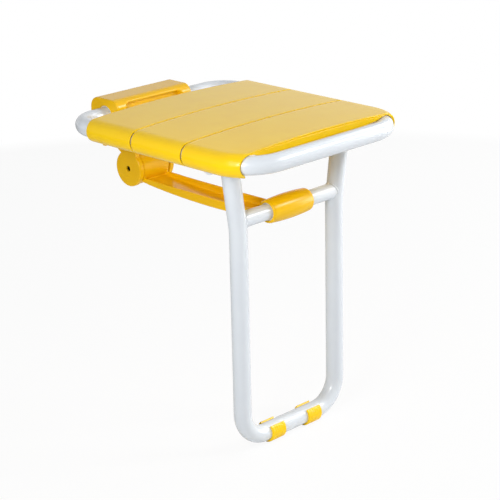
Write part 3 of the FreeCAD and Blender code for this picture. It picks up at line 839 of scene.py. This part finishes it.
@dataclass(frozen=True)
class Slats:
    """The three moulded slats, each a crowned sheet with a round skirt over each side tube.

    Attributes:
        gauge: The loop's gauge.
        wall: The sheet's thickness.
        grip: The gap between a skirt and its tube.
        crown: How far the sheet rises to its middle.
        inset: How far outside the tube's axis the skirts end.
        front_rim: The round of a slat's upper front edge.
        rear_rim: The round of its upper rear edge.
        inner_rim: The round of its lower edges.
        corner: The round of the skirts' lower corners.
        front_corner: The same at the front of the front slat.
        front_bend: The bend of the loop's tube at the front.
        flange_wall: The thickness of the flanges under the long edges.
        flange_depth: How far the flanges reach below the sheet.
        flange_fullness: How long the flanges keep that depth towards their ends.
        flange_lap: How far the flanges reach into the sheet, in walls.
        flange_least: How deep a flange is at its ends, in walls.
        flange_round: The round of its underside, in half walls of the flange.
        flange_levels: Where its faces have points, from the underside to the top.
        tuck: How far the flanges stay inside the rims.
        rib_wall: The ribs' thickness.
        rib_depth: How far the ribs reach below the sheet.
        rib_lap: How far the ribs reach into the sheet, in walls.
        rib_spacing: From rib to rib.
        depth_step: The longest step between the outline's points.
        section_steps: The steps of the section's tip, side and top.
        rim_steps: The steps of the front, rear and inner rims.
        flange_steps: The steps along a flange.
        under_steps: The steps round the underside of a flange or a rib.
    """

    gauge: LoopGauge
    wall: float = 0.0035
    grip: float = 0.0004
    crown: float = 0.004
    inset: float = 0.002
    front_rim: float = 0.003
    rear_rim: float = 0.0029
    inner_rim: float = 0.0004
    corner: float = 0.0065
    front_corner: float = 0.009
    front_bend: float = SeatLoop.front_bend
    flange_wall: float = 0.003
    flange_depth: float = 0.0065
    flange_fullness: float = 10.0
    flange_lap: float = 1 / 6
    flange_least: float = 1 / 4
    flange_round: float = 0.9
    flange_levels: tuple[float, float, float] = (0.05, 0.5, 0.95)
    tuck: float = 0.00004
    rib_wall: float = 0.0025
    rib_depth: float = 0.004
    rib_lap: float = 1 / 3
    rib_spacing: float = 0.058
    depth_step: float = 0.004
    section_steps: tuple[int, int, int] = (10, 30, 28)
    rim_steps: tuple[int, int, int] = (8, 6, 3)
    flange_steps: int = 40
    under_steps: int = 6

    def section(self) -> list[Vector]:
        """Draws the middle line of the wall across the seat, dense at its rounded ends.

        Returns:
            The line's points from one tip to the other.
        """
        gauge = self.gauge
        tip_steps, side_steps, top_steps = self.section_steps
        crown_r = (gauge.half_width ** 2 + self.crown ** 2) / (2 * self.crown)
        middle_r = gauge.tube + self.grip + self.wall / 2
        lean = math.degrees(math.asin(gauge.half_width / crown_r))
        end = -math.degrees(math.acos(self.inset / middle_r))
        tip = math.degrees(self.corner / middle_r)
        side = (gauge.half_width, gauge.level)
        right = arc(side, middle_r, end, end + tip, tip_steps)
        right += arc(side, middle_r, end + tip, 90 - lean, side_steps)[1:]
        centre = (0.0, gauge.level + self.crown - crown_r)
        top = arc(centre, crown_r + middle_r, 90 - lean, 90 + lean, top_steps)[1:-1]
        left = [(-x, z) for x, z in reversed(right)]
        return [Vector((x, 0.0, z)) for x, z in right + top + left]

    def outline(self, low: float, high: float) -> list[Vector]:
        """Draws the closed outline of the rim: the slat's depth by its wall.

        Args:
            low: The slat's front edge along Y.
            high: Its rear edge.

        Returns:
            The outline's points, with Y as their first coordinate.
        """
        half = self.wall / 2
        front, rear, inner = self.front_rim, self.rear_rim, self.inner_rim
        front_steps, rear_steps, inner_steps = self.rim_steps
        steps = max(2, round((high - low) / self.depth_step))
        shares = [i / steps for i in range(1, steps)]
        points = arc((low + front, half - front), front, 180, 90, front_steps)
        points += [(low + front + (high - low - front - rear) * share, half) for share in shares]
        points += arc((high - rear, half - rear), rear, 90, 0, rear_steps)
        points += arc((high - inner, inner - half), inner, 0, -90, inner_steps)
        points += [(high - inner - (high - low - 2 * inner) * share, -half) for share in shares]
        points += arc((low + inner, inner - half), inner, -90, -180, inner_steps)
        return [Vector((y, out, 0.0)) for y, out in points]

    def sheet_low(self, x: float) -> float:
        """The height of the sheet's underside at a place across the seat."""
        rise = self.crown * (1 - (x / self.gauge.half_width) ** 2)
        return self.gauge.level + self.gauge.tube + self.grip + rise

    def flange_ring(self, x: float, end: float, low: float) -> list[Vector]:
        """Draws a flange's section, which is shallower towards its ends.

        Args:
            x: The section's place from the seat's middle.
            end: How far from the middle the flange ends.
            low: The flange's front face along Y.

        Returns:
            The section's points.
        """
        half = self.flange_wall / 2 - self.tuck
        middle = low + self.flange_wall / 2
        top = self.sheet_low(x) + self.wall * self.flange_lap
        drop = self.crown + self.flange_depth - self.wall / 2
        fullness = 1 - abs(x / end) ** self.flange_fullness
        bottom = self.gauge.level + self.gauge.tube + self.wall - drop * fullness
        bottom = min(bottom, top - self.wall * self.flange_least)
        r = min(self.flange_wall / 2, (top - bottom) / 2) * self.flange_round
        under = [(middle + (y - middle) * half / r, z)
                 for y, z in arc((middle, bottom + r), r, 180, 360, self.under_steps)]
        levels = [bottom + r + (top - bottom - r) * share for share in self.flange_levels] + [top]
        front = [(middle - half, z) for z in reversed(levels)]
        rear = [(middle + half, z) for z in levels]
        return [Vector((self.gauge.across + x, y, z)) for y, z in front + under + rear]

    def flange(self, build: bmesh.types.BMesh, low: float) -> None:
        """Adds a flange under one long edge, deepest in the middle.

        Args:
            build: The mesh in the making.
            low: The flange's front face along Y.
        """
        end = self.gauge.half_width - self.gauge.tube - self.wall
        shares = [2 * i / self.flange_steps - 1 for i in range(self.flange_steps + 1)]
        loft(build, [self.flange_ring(end * share, end, low) for share in shares])

    def rib(self, build: bmesh.types.BMesh, x: float, low: float, high: float) -> None:
        """Adds a rib under the sheet.

        Args:
            build: The mesh in the making.
            x: The rib's place from the seat's middle.
            low: Its front end along Y.
            high: Its rear end.
        """
        half = self.rib_wall / 2
        top = self.sheet_low(x) + self.wall * self.rib_lap
        middle = (x, self.sheet_low(x) - self.rib_depth + half)
        under = arc(middle, half, 180, 360, self.under_steps)
        places = [(x - half, top)] + under + [(x + half, top)]
        loft(build, [[Vector((self.gauge.across + px, y, z)) for px, z in places]
                     for y in (low, high)])

    def sheet(self, node: str, shell: SlatShell) -> bpy.types.Object:
        """Sweeps one slat's sheet and skirts.

        Args:
            node: The slat's CAD node.
            shell: The tree that sweeps them.

        Returns:
            The sheet.
        """
        low, high = (corner.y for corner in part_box(node))
        path = curve_of(node + "_section", self.section(), False)
        outline = curve_of(node + "_outline", self.outline(low, high), True)
        values = {"Outline": outline, "Half width": self.gauge.half_width,
                  "Front bend": self.front_bend, "Bend start": self.gauge.front + self.front_bend,
                  "Middle": (low + high) / 2, "Half depth": (high - low) / 2,
                  "Rear corner": self.corner,
                  "Front corner": self.front_corner if node == "slat_front" else self.corner,
                  "Edge": self.wall / 2, "Across": self.gauge.across,
                  "Material": MOULDED_YELLOW.material()}
        sheet = bake(path, shell.tree, values, node + "_sheet")
        bpy.data.objects.remove(outline)
        return sheet

    def build(self, frame: Frame) -> None:
        """Makes each slat in its CAD node's depth.

        Args:
            frame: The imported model.
        """
        shell = SlatShell()
        for node in ("slat_rear", "slat_middle", "slat_front"):
            low, high = (corner.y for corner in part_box(node))
            sheet = self.sheet(node, shell)
            build = bmesh.new()
            self.flange(build, low)
            self.flange(build, high - self.flange_wall)
            for x in (-self.rib_spacing, 0.0, self.rib_spacing):
                self.rib(build, x, low + self.flange_wall / 2, high - self.flange_wall / 2)
            piece = join(node + "_moulding", [sheet, mesh_of(node + "_ribs", build)])
            frame.place(piece, Body.SEAT, MOULDED_YELLOW, node)


class WeldBead:
    """The geometry tree of a weld: a rippled bead along a closed line."""

    def __init__(self) -> None:
        """Builds the tree."""
        sockets = [("Bead radius", Kind.METRES, 0.0016), ("Ripple height", Kind.METRES, 0.12),
                   ("Ripples", Kind.METRES, 36.0), ("Round steps", Kind.COUNT, 12),
                   ("Material", Kind.MATERIAL, None)]
        graph, size = new_tree("weld_bead", sockets)
        along = graph.node("GeometryNodeSplineParameter").outputs["Factor"]
        turn = graph.math("MULTIPLY", graph.math("MULTIPLY", along, math.tau), size["Ripples"])
        swell = graph.math("MULTIPLY_ADD", graph.math("SINE", turn), size["Ripple height"], 1.0)
        ring = graph.first("GeometryNodeCurvePrimitiveCircle", {
            "Resolution": size["Round steps"], "Radius": size["Bead radius"]})
        bead = graph.first("GeometryNodeCurveToMesh", {
            "Curve": size["Geometry"], "Profile Curve": ring, "Scale": swell})
        self.tree = end_tree(graph, bead, size["Material"])


@dataclass(frozen=True)
class LegFrame:
    """The U-shaped leg tube, its crossbar and the welds between them.

    Attributes:
        gauge: The seat loop's gauge. The legs have the same tube.
        reach: From the rear tube's axis out to the legs.
        drop: From the rear tube's axis down to the bottom tube's.
        crossbar_drop: The same down to the crossbar's axis.
        crossbar_radius: The crossbar's outer radius.
        pivot_drop: From the rear tube's axis down to the legs' pivots.
        top_rise: How far the leg tube ends above its pivots.
        spacing: Between the axes of the upright legs.
        top_spacing: Between the legs' axes at their pivots.
        splay_drop: From the rear tube's axis down to where the legs splay.
        splay_bend: The bend radius there.
        foot_bend: The bend radius at the bottom corners.
        weld_radius: The radius of the welds' bead.
        weld_points: How many points a weld's line has.
    """

    gauge: LoopGauge
    reach: float = 0.2715
    drop: float = 0.4175
    crossbar_drop: float = 0.0965
    crossbar_radius: float = 0.011
    pivot_drop: float = 0.010
    top_rise: float = 0.0075
    spacing: float = 0.188
    top_spacing: float = 0.217
    splay_drop: float = 0.110
    splay_bend: float = 0.090
    foot_bend: float = 0.042
    weld_radius: float = 0.0014
    weld_points: int = 216

    @property
    def slant(self) -> float:
        """How far a leg leans outwards for each metre up."""
        return (self.top_spacing - self.spacing) / 2 / (self.splay_drop - self.pivot_drop)

    @property
    def bar_half(self) -> float:
        """From the middle to a leg's axis at the crossbar's height."""
        return self.spacing / 2 + self.slant * (self.splay_drop - self.crossbar_drop)

    def build(self, frame: Frame, tube: BentTube) -> None:
        """Makes the three pieces about the seat's hinge.

        Args:
            frame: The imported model.
            tube: The tree that sweeps tubes.
        """
        hinge = self.gauge.hinge()
        half, top = self.spacing / 2, self.top_spacing / 2 + self.top_rise * self.slant
        side = [(top, self.top_rise - self.pivot_drop), (half, -self.splay_drop),
                (half, -self.drop)]
        points = [hinge + Vector((-x, -self.reach, z)) for x, z in side]
        points += [hinge + Vector((x, -self.reach, z)) for x, z in reversed(side)]
        bends = [0.0, self.splay_bend, self.foot_bend, self.foot_bend, self.splay_bend, 0.0]
        line = poly_line("leg_line", points, bends, False)
        leg = tube.make("leg_tube", line, self.gauge.tube, POWDER_WHITE)
        frame.place(leg, Body.LEGS, POWDER_WHITE, "leg_u_tube")
        ends = [hinge + Vector((x, -self.reach, -self.crossbar_drop))
                for x in (-self.bar_half, self.bar_half)]
        line = poly_line("bar_line", ends, [0.0, 0.0], False)
        bar = tube.make("crossbar", line, self.crossbar_radius, POWDER_WHITE)
        frame.place(bar, Body.LEGS, POWDER_WHITE, "leg_crossbar")
        bead = WeldBead()
        values = {"Bead radius": self.weld_radius, "Material": POWDER_WHITE.material()}
        beads = [bake(curve_of("weld_line", self.seam(hand), True), bead.tree, values, "weld")
                 for hand in (-1, 1)]
        frame.place(join("crossbar_welds", beads), Body.LEGS, POWDER_WHITE)

    def seam(self, hand: int) -> list[Vector]:
        """Draws the line where the crossbar meets one leaning leg.

        Args:
            hand: -1 for the left leg and 1 for the right one.

        Returns:
            Points round the crossbar.
        """
        points = []
        for i in range(self.weld_points):
            turn = math.tau * i / self.weld_points
            y, z = self.crossbar_radius * math.cos(turn), self.crossbar_radius * math.sin(turn)
            chord = math.sqrt(self.gauge.tube ** 2 - y ** 2) * math.sqrt(1 + self.slant ** 2)
            x = hand * (self.bar_half + self.slant * z - chord)
            place = Vector((x, y - self.reach, z - self.crossbar_drop))
            points.append(self.gauge.hinge() + place)
        return points


@dataclass(frozen=True)
class SoftMoulding:
    """A CAD node with the soft edges and corners that a moulding has.

    Attributes:
        node: The node.
        body: The body that it rides on.
        grid: The size of the even faces that it is divided into.
        rounds: How many times those are softened.
        finish: Its finish.
        factor: How far each softening moves a point towards its neighbours' middle.
    """

    node: str
    body: Body
    grid: float
    rounds: int
    finish: Finish = MOULDED_YELLOW
    factor: float = 0.5

    def build(self, frame: Frame) -> None:
        """Divides a copy of the node evenly, softens it and puts it in the node's place.

        Args:
            frame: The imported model.
        """
        copy = add(self.node + "_copy", meshed(self.node, frame.merged(self.node)))
        even = copy.modifiers.new("even", "REMESH")
        even.mode = "VOXEL"
        even.voxel_size = self.grid
        even.use_smooth_shade = True
        soft = copy.modifiers.new("soft", "SMOOTH")
        soft.factor = self.factor
        soft.iterations = self.rounds
        piece = settle(copy, self.node + "_moulding")
        piece.data.materials.clear()
        piece.data.materials.append(self.finish.material())
        frame.place(piece, self.body, self.finish, self.node)


MOULDINGS = (
    # The arm and its sleeve cap wear the darker copy of the yellow, whose colour is painted shade.
    SoftMoulding("link_arm", Body.ARM, grid=0.0009, rounds=8, finish=PAINTED_SHADE_YELLOW),
    SoftMoulding("sleeve_cap", Body.ARM, grid=0.0007, rounds=5, finish=PAINTED_SHADE_YELLOW),
    SoftMoulding("foot_clip_left", Body.LEGS, grid=0.0004, rounds=4),
    SoftMoulding("foot_clip_right", Body.LEGS, grid=0.0004, rounds=4),
)


@dataclass(frozen=True)
class Screw:
    """A pan-head screw with a cross slot, drawn along Z with the head's underside at zero.

    Attributes:
        head_radius: The head's radius.
        head_height: The head's height.
        shank_radius: The shank's radius.
        length: From under the head to the tip.
        slot_width: The width of the cross's slots.
        slot_share: Their length, in head radii.
        dome_share: The height of the head's dome, in head heights.
        tip_share: The radius and height of the tip, in shank radii.
        dome_step: The step between the dome's points, in degrees.
        sides: How many sides it has.
    """

    head_radius: float
    head_height: float
    shank_radius: float
    length: float
    slot_width: float = 0.0009
    slot_share: float = 1.2
    dome_share: float = 0.45
    tip_share: float = 0.4
    dome_step: int = 10
    sides: int = 40

    def outline(self) -> list[Place]:
        """Draws half of the screw's outline.

        Returns:
            Its points, as (radius, height) from the top to the tip.
        """
        dome, wide = self.head_height * self.dome_share, self.head_radius
        crown = [(wide * math.sin(t), self.head_height - dome + dome * math.cos(t))
                 for t in map(math.radians, range(self.dome_step, 90 + 1, self.dome_step))]
        tip = self.shank_radius * self.tip_share
        return crown + [(wide, 0.0), (self.shank_radius, 0.0),
                        (self.shank_radius, tip - self.length), (tip, -self.length)]

    def build(self) -> bpy.types.Object:
        """Turns the outline into a screw and cuts the cross into its head.

        Returns:
            The screw.
        """
        build = bmesh.new()
        turns = [math.tau * i / self.sides for i in range(self.sides)]
        loft(build, [[Vector((r * math.cos(t), r * math.sin(t), z)) for t in turns]
                     for r, z in self.outline()])
        screw = mesh_of("screw", build)
        for turn in (0.0, math.pi / 2):
            self.cut(screw, turn)
        return screw

    def cut(self, screw: bpy.types.Object, turn: float) -> None:
        """Cuts one slot of the cross.

        Args:
            screw: The screw.
            turn: The slot's turn about the screw's axis.
        """
        build = bmesh.new()
        bmesh.ops.create_cube(build, size=1.0)
        size = (self.head_radius * self.slot_share, self.slot_width, self.head_height, 1.0)
        head = Matrix.Translation((0.0, 0.0, self.head_height)) @ Matrix.Rotation(turn, 4, "Z")
        bmesh.ops.transform(build, matrix=head @ Matrix.Diagonal(size), verts=build.verts)
        tool = mesh_of("slot", build)
        cut = screw.modifiers.new("cross", "BOOLEAN")
        cut.operation = "DIFFERENCE"
        cut.object = tool
        screw.data = settled_mesh(screw)
        bpy.data.objects.remove(tool)


class ScrewGroup:
    """The geometry tree that sets one screw at each point, all turned the same way."""

    def __init__(self) -> None:
        """Builds the tree."""
        sockets = [("Screw", Kind.OBJECT, None), ("Turn", Kind.TURN, None),
                   ("Material", Kind.MATERIAL, None)]
        graph, size = new_tree("screw_group", sockets)
        one = graph.node("GeometryNodeObjectInfo", {"Object": size["Screw"]})
        group = graph.first("GeometryNodeInstanceOnPoints", {
            "Points": size["Geometry"], "Instance": one.outputs["Geometry"],
            "Rotation": size["Turn"]})
        self.tree = end_tree(graph, group, size["Material"])

    def make(self, name: str, screw: Screw, seats: Sequence[Vector],
             turn: float) -> bpy.types.Object:
        """Sets a screw at each seat.

        Args:
            name: The piece's name.
            screw: The screw.
            seats: Where the underside of each head is.
            turn: How far the screws turn about X from heads up, in degrees.

        Returns:
            The group as one piece.
        """
        mesh = bpy.data.meshes.new(name + "_seats")
        mesh.from_pydata([tuple(seat) for seat in seats], [], [])
        source = add(name + "_seats", mesh)
        one = screw.build()
        values = {"Screw": one, "Turn": (math.radians(turn), 0.0, 0.0),
                  "Material": PLATED_STEEL.material()}
        piece = bake(source, self.tree, values, name)
        bpy.data.objects.remove(one)
        return piece


COVER_SCREW = Screw(head_radius=0.0045, head_height=0.004, shank_radius=0.0025, length=0.0255,
                    slot_width=0.0013)
SLAT_SCREW = Screw(head_radius=0.0036, head_height=0.0022, shank_radius=0.0018, length=0.007)
SLEEVE_SCREW = Screw(head_radius=0.0019, head_height=0.0016, shank_radius=0.0012, length=0.009,
                     slot_width=0.0006)


@dataclass(frozen=True)
class Fasteners:
    """The screws that show from below and behind, set where the CAD nodes have theirs.

    Attributes:
        sleeve_tilt: How far the sleeve's screws point up from straight back, in degrees.
    """

    sleeve_tilt: float = 26.0

    def build(self, frame: Frame) -> None:
        """Makes the three groups of screws.

        Args:
            frame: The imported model.
        """
        group = ScrewGroup()
        self.from_below(frame, group, "cover_screws", COVER_SCREW, Body.BRACKET)
        self.from_below(frame, group, "slat_screws", SLAT_SCREW, Body.SEAT)
        tilt = math.radians(self.sleeve_tilt)
        out = Vector((0.0, math.cos(tilt), -math.sin(tilt)))
        to_seat = out * (SLEEVE_SCREW.length - SLEEVE_SCREW.head_height) / 2
        seats = [(low + high) / 2 + to_seat for low, high in frame.solids("sleeve_screws")]
        piece = group.make("sleeve_screw_set", SLEEVE_SCREW, seats, -90.0 - self.sleeve_tilt)
        frame.place(piece, Body.ARM, PLATED_STEEL, "sleeve_screws")

    @staticmethod
    def from_below(frame: Frame, group: ScrewGroup, node: str, screw: Screw, body: Body) -> None:
        """Sets screws whose heads face down in place of a CAD node.

        Args:
            frame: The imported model.
            group: The tree that sets screws.
            node: The CAD node.
            screw: The screw.
            body: The body that it rides on.
        """
        seats = [Vector(((low.x + high.x) / 2, (low.y + high.y) / 2, low.z + screw.head_height))
                 for low, high in frame.solids(node)]
        frame.place(group.make(node + "_set", screw, seats, 180.0), body, PLATED_STEEL, node)


@dataclass(frozen=True)
class Lamp:
    """A square soft light that faces the seat.

    Attributes:
        name: Its name.
        turn: Its direction from the front towards the right, in degrees.
        height: Its direction upwards, in degrees.
        size: The length of its side.
        power: Its power in watts.
        distance: From its target.
    """

    name: str
    turn: float
    height: float
    size: float
    power: float
    distance: float = 2.4

    def hang(self, target: Vector) -> None:
        """Hangs the light so that it faces its target.

        Args:
            target: The place that it faces.
        """
        turn, height = math.radians(self.turn), math.radians(self.height)
        out = Vector((math.sin(turn) * math.cos(height), -math.cos(turn) * math.cos(height),
                      math.sin(height)))
        data = bpy.data.lights.new(self.name, "AREA")
        data.shape = "SQUARE"
        data.size = self.size
        data.energy = self.power
        lamp = add(self.name, data)
        lamp.location = target + out * self.distance
        lamp.rotation_euler = (-out).to_track_quat("-Z", "Y").to_euler()


LAMPS = (
    Lamp("left_near", turn=-68.0, height=20.0, size=0.4, power=2.5, distance=0.8),
    Lamp("left", turn=-64.0, height=18.0, size=0.55, power=20.0),
    Lamp("front_right", turn=45.0, height=30.0, size=0.6, power=23.0),
    Lamp("right", turn=85.0, height=30.0, size=1.2, power=20.0),
    Lamp("right_low", turn=60.0, height=2.0, size=1.0, power=27.0),
)


@dataclass(frozen=True)
class Studio:
    """The pale floor, the soft light and the camera at the photograph's angle.

    Attributes:
        azimuth: The camera's direction from the front towards the right, in degrees.
        elevation: How far it is above the rear tube, in degrees.
        roll: Its roll in degrees.
        distance: From the middle of the rear tube.
        aim_right: How far right of that middle the picture's centre is.
        aim_up: How far above it.
        focal_pixels: The focal length in pixels of a square picture.
        image_pixels: The picture's side in pixels.
        sensor: The sensor's width in millimetres.
        floor_radius: The floor's radius.
        floor_sides: How many sides its edge has.
        floor_tone: How much light the floor gives back.
        floor_white: How white the floor is at least where the camera sees it.
        floor_grain: The number to a metre, depth and strength of its grains.
        fade: Where the floor starts to turn all white and where it is.
        sky: How strongly the surroundings light the seat.
    """

    azimuth: float = -44.62
    elevation: float = 19.18
    roll: float = -1.25
    distance: float = 2.41941
    aim_right: float = -0.14334
    aim_up: float = 0.21137
    focal_pixels: float = 1669.22
    image_pixels: float = 500.0
    sensor: float = 36.0
    floor_radius: float = 4.0
    floor_sides: int = 96
    floor_tone: float = 0.9
    floor_white: float = 0.92
    floor_grain: tuple[float, float, float] = (400.0, 0.0002, 0.2)
    fade: tuple[float, float] = (0.5, 1.6)
    sky: float = 0.1

    def floor_material(self) -> bpy.types.Material:
        """Makes a pale floor that keeps a soft shadow and is white farther out.

        Returns:
            The material.
        """
        made = bpy.data.materials.new("pale_floor")
        made.use_nodes = True
        graph = Graph(made.node_tree)
        place = graph.node("ShaderNodeTexCoord").outputs["Object"]
        reach = graph.node("ShaderNodeVectorMath", {0: place}, operation="LENGTH").outputs["Value"]
        fade = graph.first("ShaderNodeMapRange", {
            "Value": reach, "From Min": self.fade[0], "From Max": self.fade[1]})
        seen = graph.math("MULTIPLY", graph.node("ShaderNodeLightPath").outputs["Is Camera Ray"],
                          graph.math("MAXIMUM", fade, self.floor_white))
        tone = (self.floor_tone, self.floor_tone, self.floor_tone, 1.0)
        number, depth, strength = self.floor_grain
        grain = graph.bump(graph.noise(place, number), depth, strength)
        pale = graph.first("ShaderNodeBsdfDiffuse", {"Color": tone, "Normal": grain})
        white = graph.first("ShaderNodeEmission", {"Color": WHITE, "Strength": 1.0})
        mixed = graph.first("ShaderNodeMixShader", {0: seen, 1: pale, 2: white})
        graph.node("ShaderNodeOutputMaterial", {"Surface": mixed})
        return made

    def floor(self, height: float, centre: Vector) -> None:
        """Lays a round floor under the feet.

        Args:
            height: The floor's height.
            centre: Its middle. The height of that doesn't count.
        """
        build = bmesh.new()
        bmesh.ops.create_circle(build, cap_ends=True, segments=self.floor_sides,
                                radius=self.floor_radius)
        mesh = meshed("floor", build)
        mesh.materials.append(self.floor_material())
        floor = add("floor", mesh)
        floor.location = (centre.x, centre.y, height)
        floor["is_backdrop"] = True

    def world(self) -> None:
        """A surrounding that lights softly and is white where it is seen or mirrored."""
        world = bpy.data.worlds.new("studio")
        world.use_nodes = True
        graph = Graph(world.node_tree)
        rays = graph.node("ShaderNodeLightPath").outputs
        seen = graph.math("MAXIMUM", rays["Is Camera Ray"], rays["Is Glossy Ray"])
        seen = graph.math("MAXIMUM", seen, rays["Is Transmission Ray"])
        level = graph.first("ShaderNodeMapRange", {
            "Value": seen, "To Min": self.sky, "To Max": 1.0})
        sky = graph.first("ShaderNodeBackground", {"Color": WHITE, "Strength": level})
        graph.node("ShaderNodeOutputWorld", {"Surface": sky})
        bpy.context.scene.world = world

    def camera(self, origin: Vector) -> None:
        """Sets the camera from its angles.

        Args:
            origin: The middle of the rear tube, which its distance and aim start from.
        """
        turn, lift, tilt = (math.radians(a) for a in (self.azimuth, self.elevation, self.roll))
        right = Vector((math.cos(turn), math.sin(turn), 0.0))
        ahead = Vector((-math.sin(turn) * math.cos(lift), math.cos(turn) * math.cos(lift),
                        -math.sin(lift)))
        up = right.cross(ahead)
        across = right * math.cos(tilt) + up * math.sin(tilt)
        above = up * math.cos(tilt) - right * math.sin(tilt)
        data = bpy.data.cameras.new("camera")
        data.sensor_width = self.sensor
        data.lens = self.focal_pixels / self.image_pixels * self.sensor
        camera = add("camera", data)
        place = origin - across * self.aim_right - above * self.aim_up - ahead * self.distance
        turned = Matrix((across, above, -ahead)).transposed().to_4x4()
        camera.matrix_world = Matrix.Translation(place) @ turned
        bpy.context.scene.camera = camera

    def build(self, gauge: LoopGauge) -> None:
        """Sets up the floor, the surroundings, the lamps and the camera.

        Args:
            gauge: The seat loop's gauge.
        """
        low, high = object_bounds()
        self.floor(low.z, (low + high) / 2)
        self.world()
        target = Vector((gauge.across, (gauge.front + gauge.rear) / 2, gauge.level))
        for lamp in LAMPS:
            lamp.hang(target)
        self.camera(gauge.hinge())


def main() -> None:
    """Builds the seat's pieces in order, then the studio."""
    logging.basicConfig(level=logging.INFO, format="%(message)s")
    frame = Frame()
    gauge = LoopGauge.read()
    tube = BentTube()
    for finish, nodes in DRESSED:
        frame.dress(finish, nodes)
    SeatLoop().build(frame, gauge, tube)
    Slats(gauge).build(frame)
    LegFrame(gauge).build(frame, tube)
    for moulding in MOULDINGS:
        moulding.build(frame)
    Fasteners().build(frame)
    Studio().build(gauge)
    bpy.context.scene.view_settings.view_transform = "Standard"


if __name__ == "__main__":
    main()
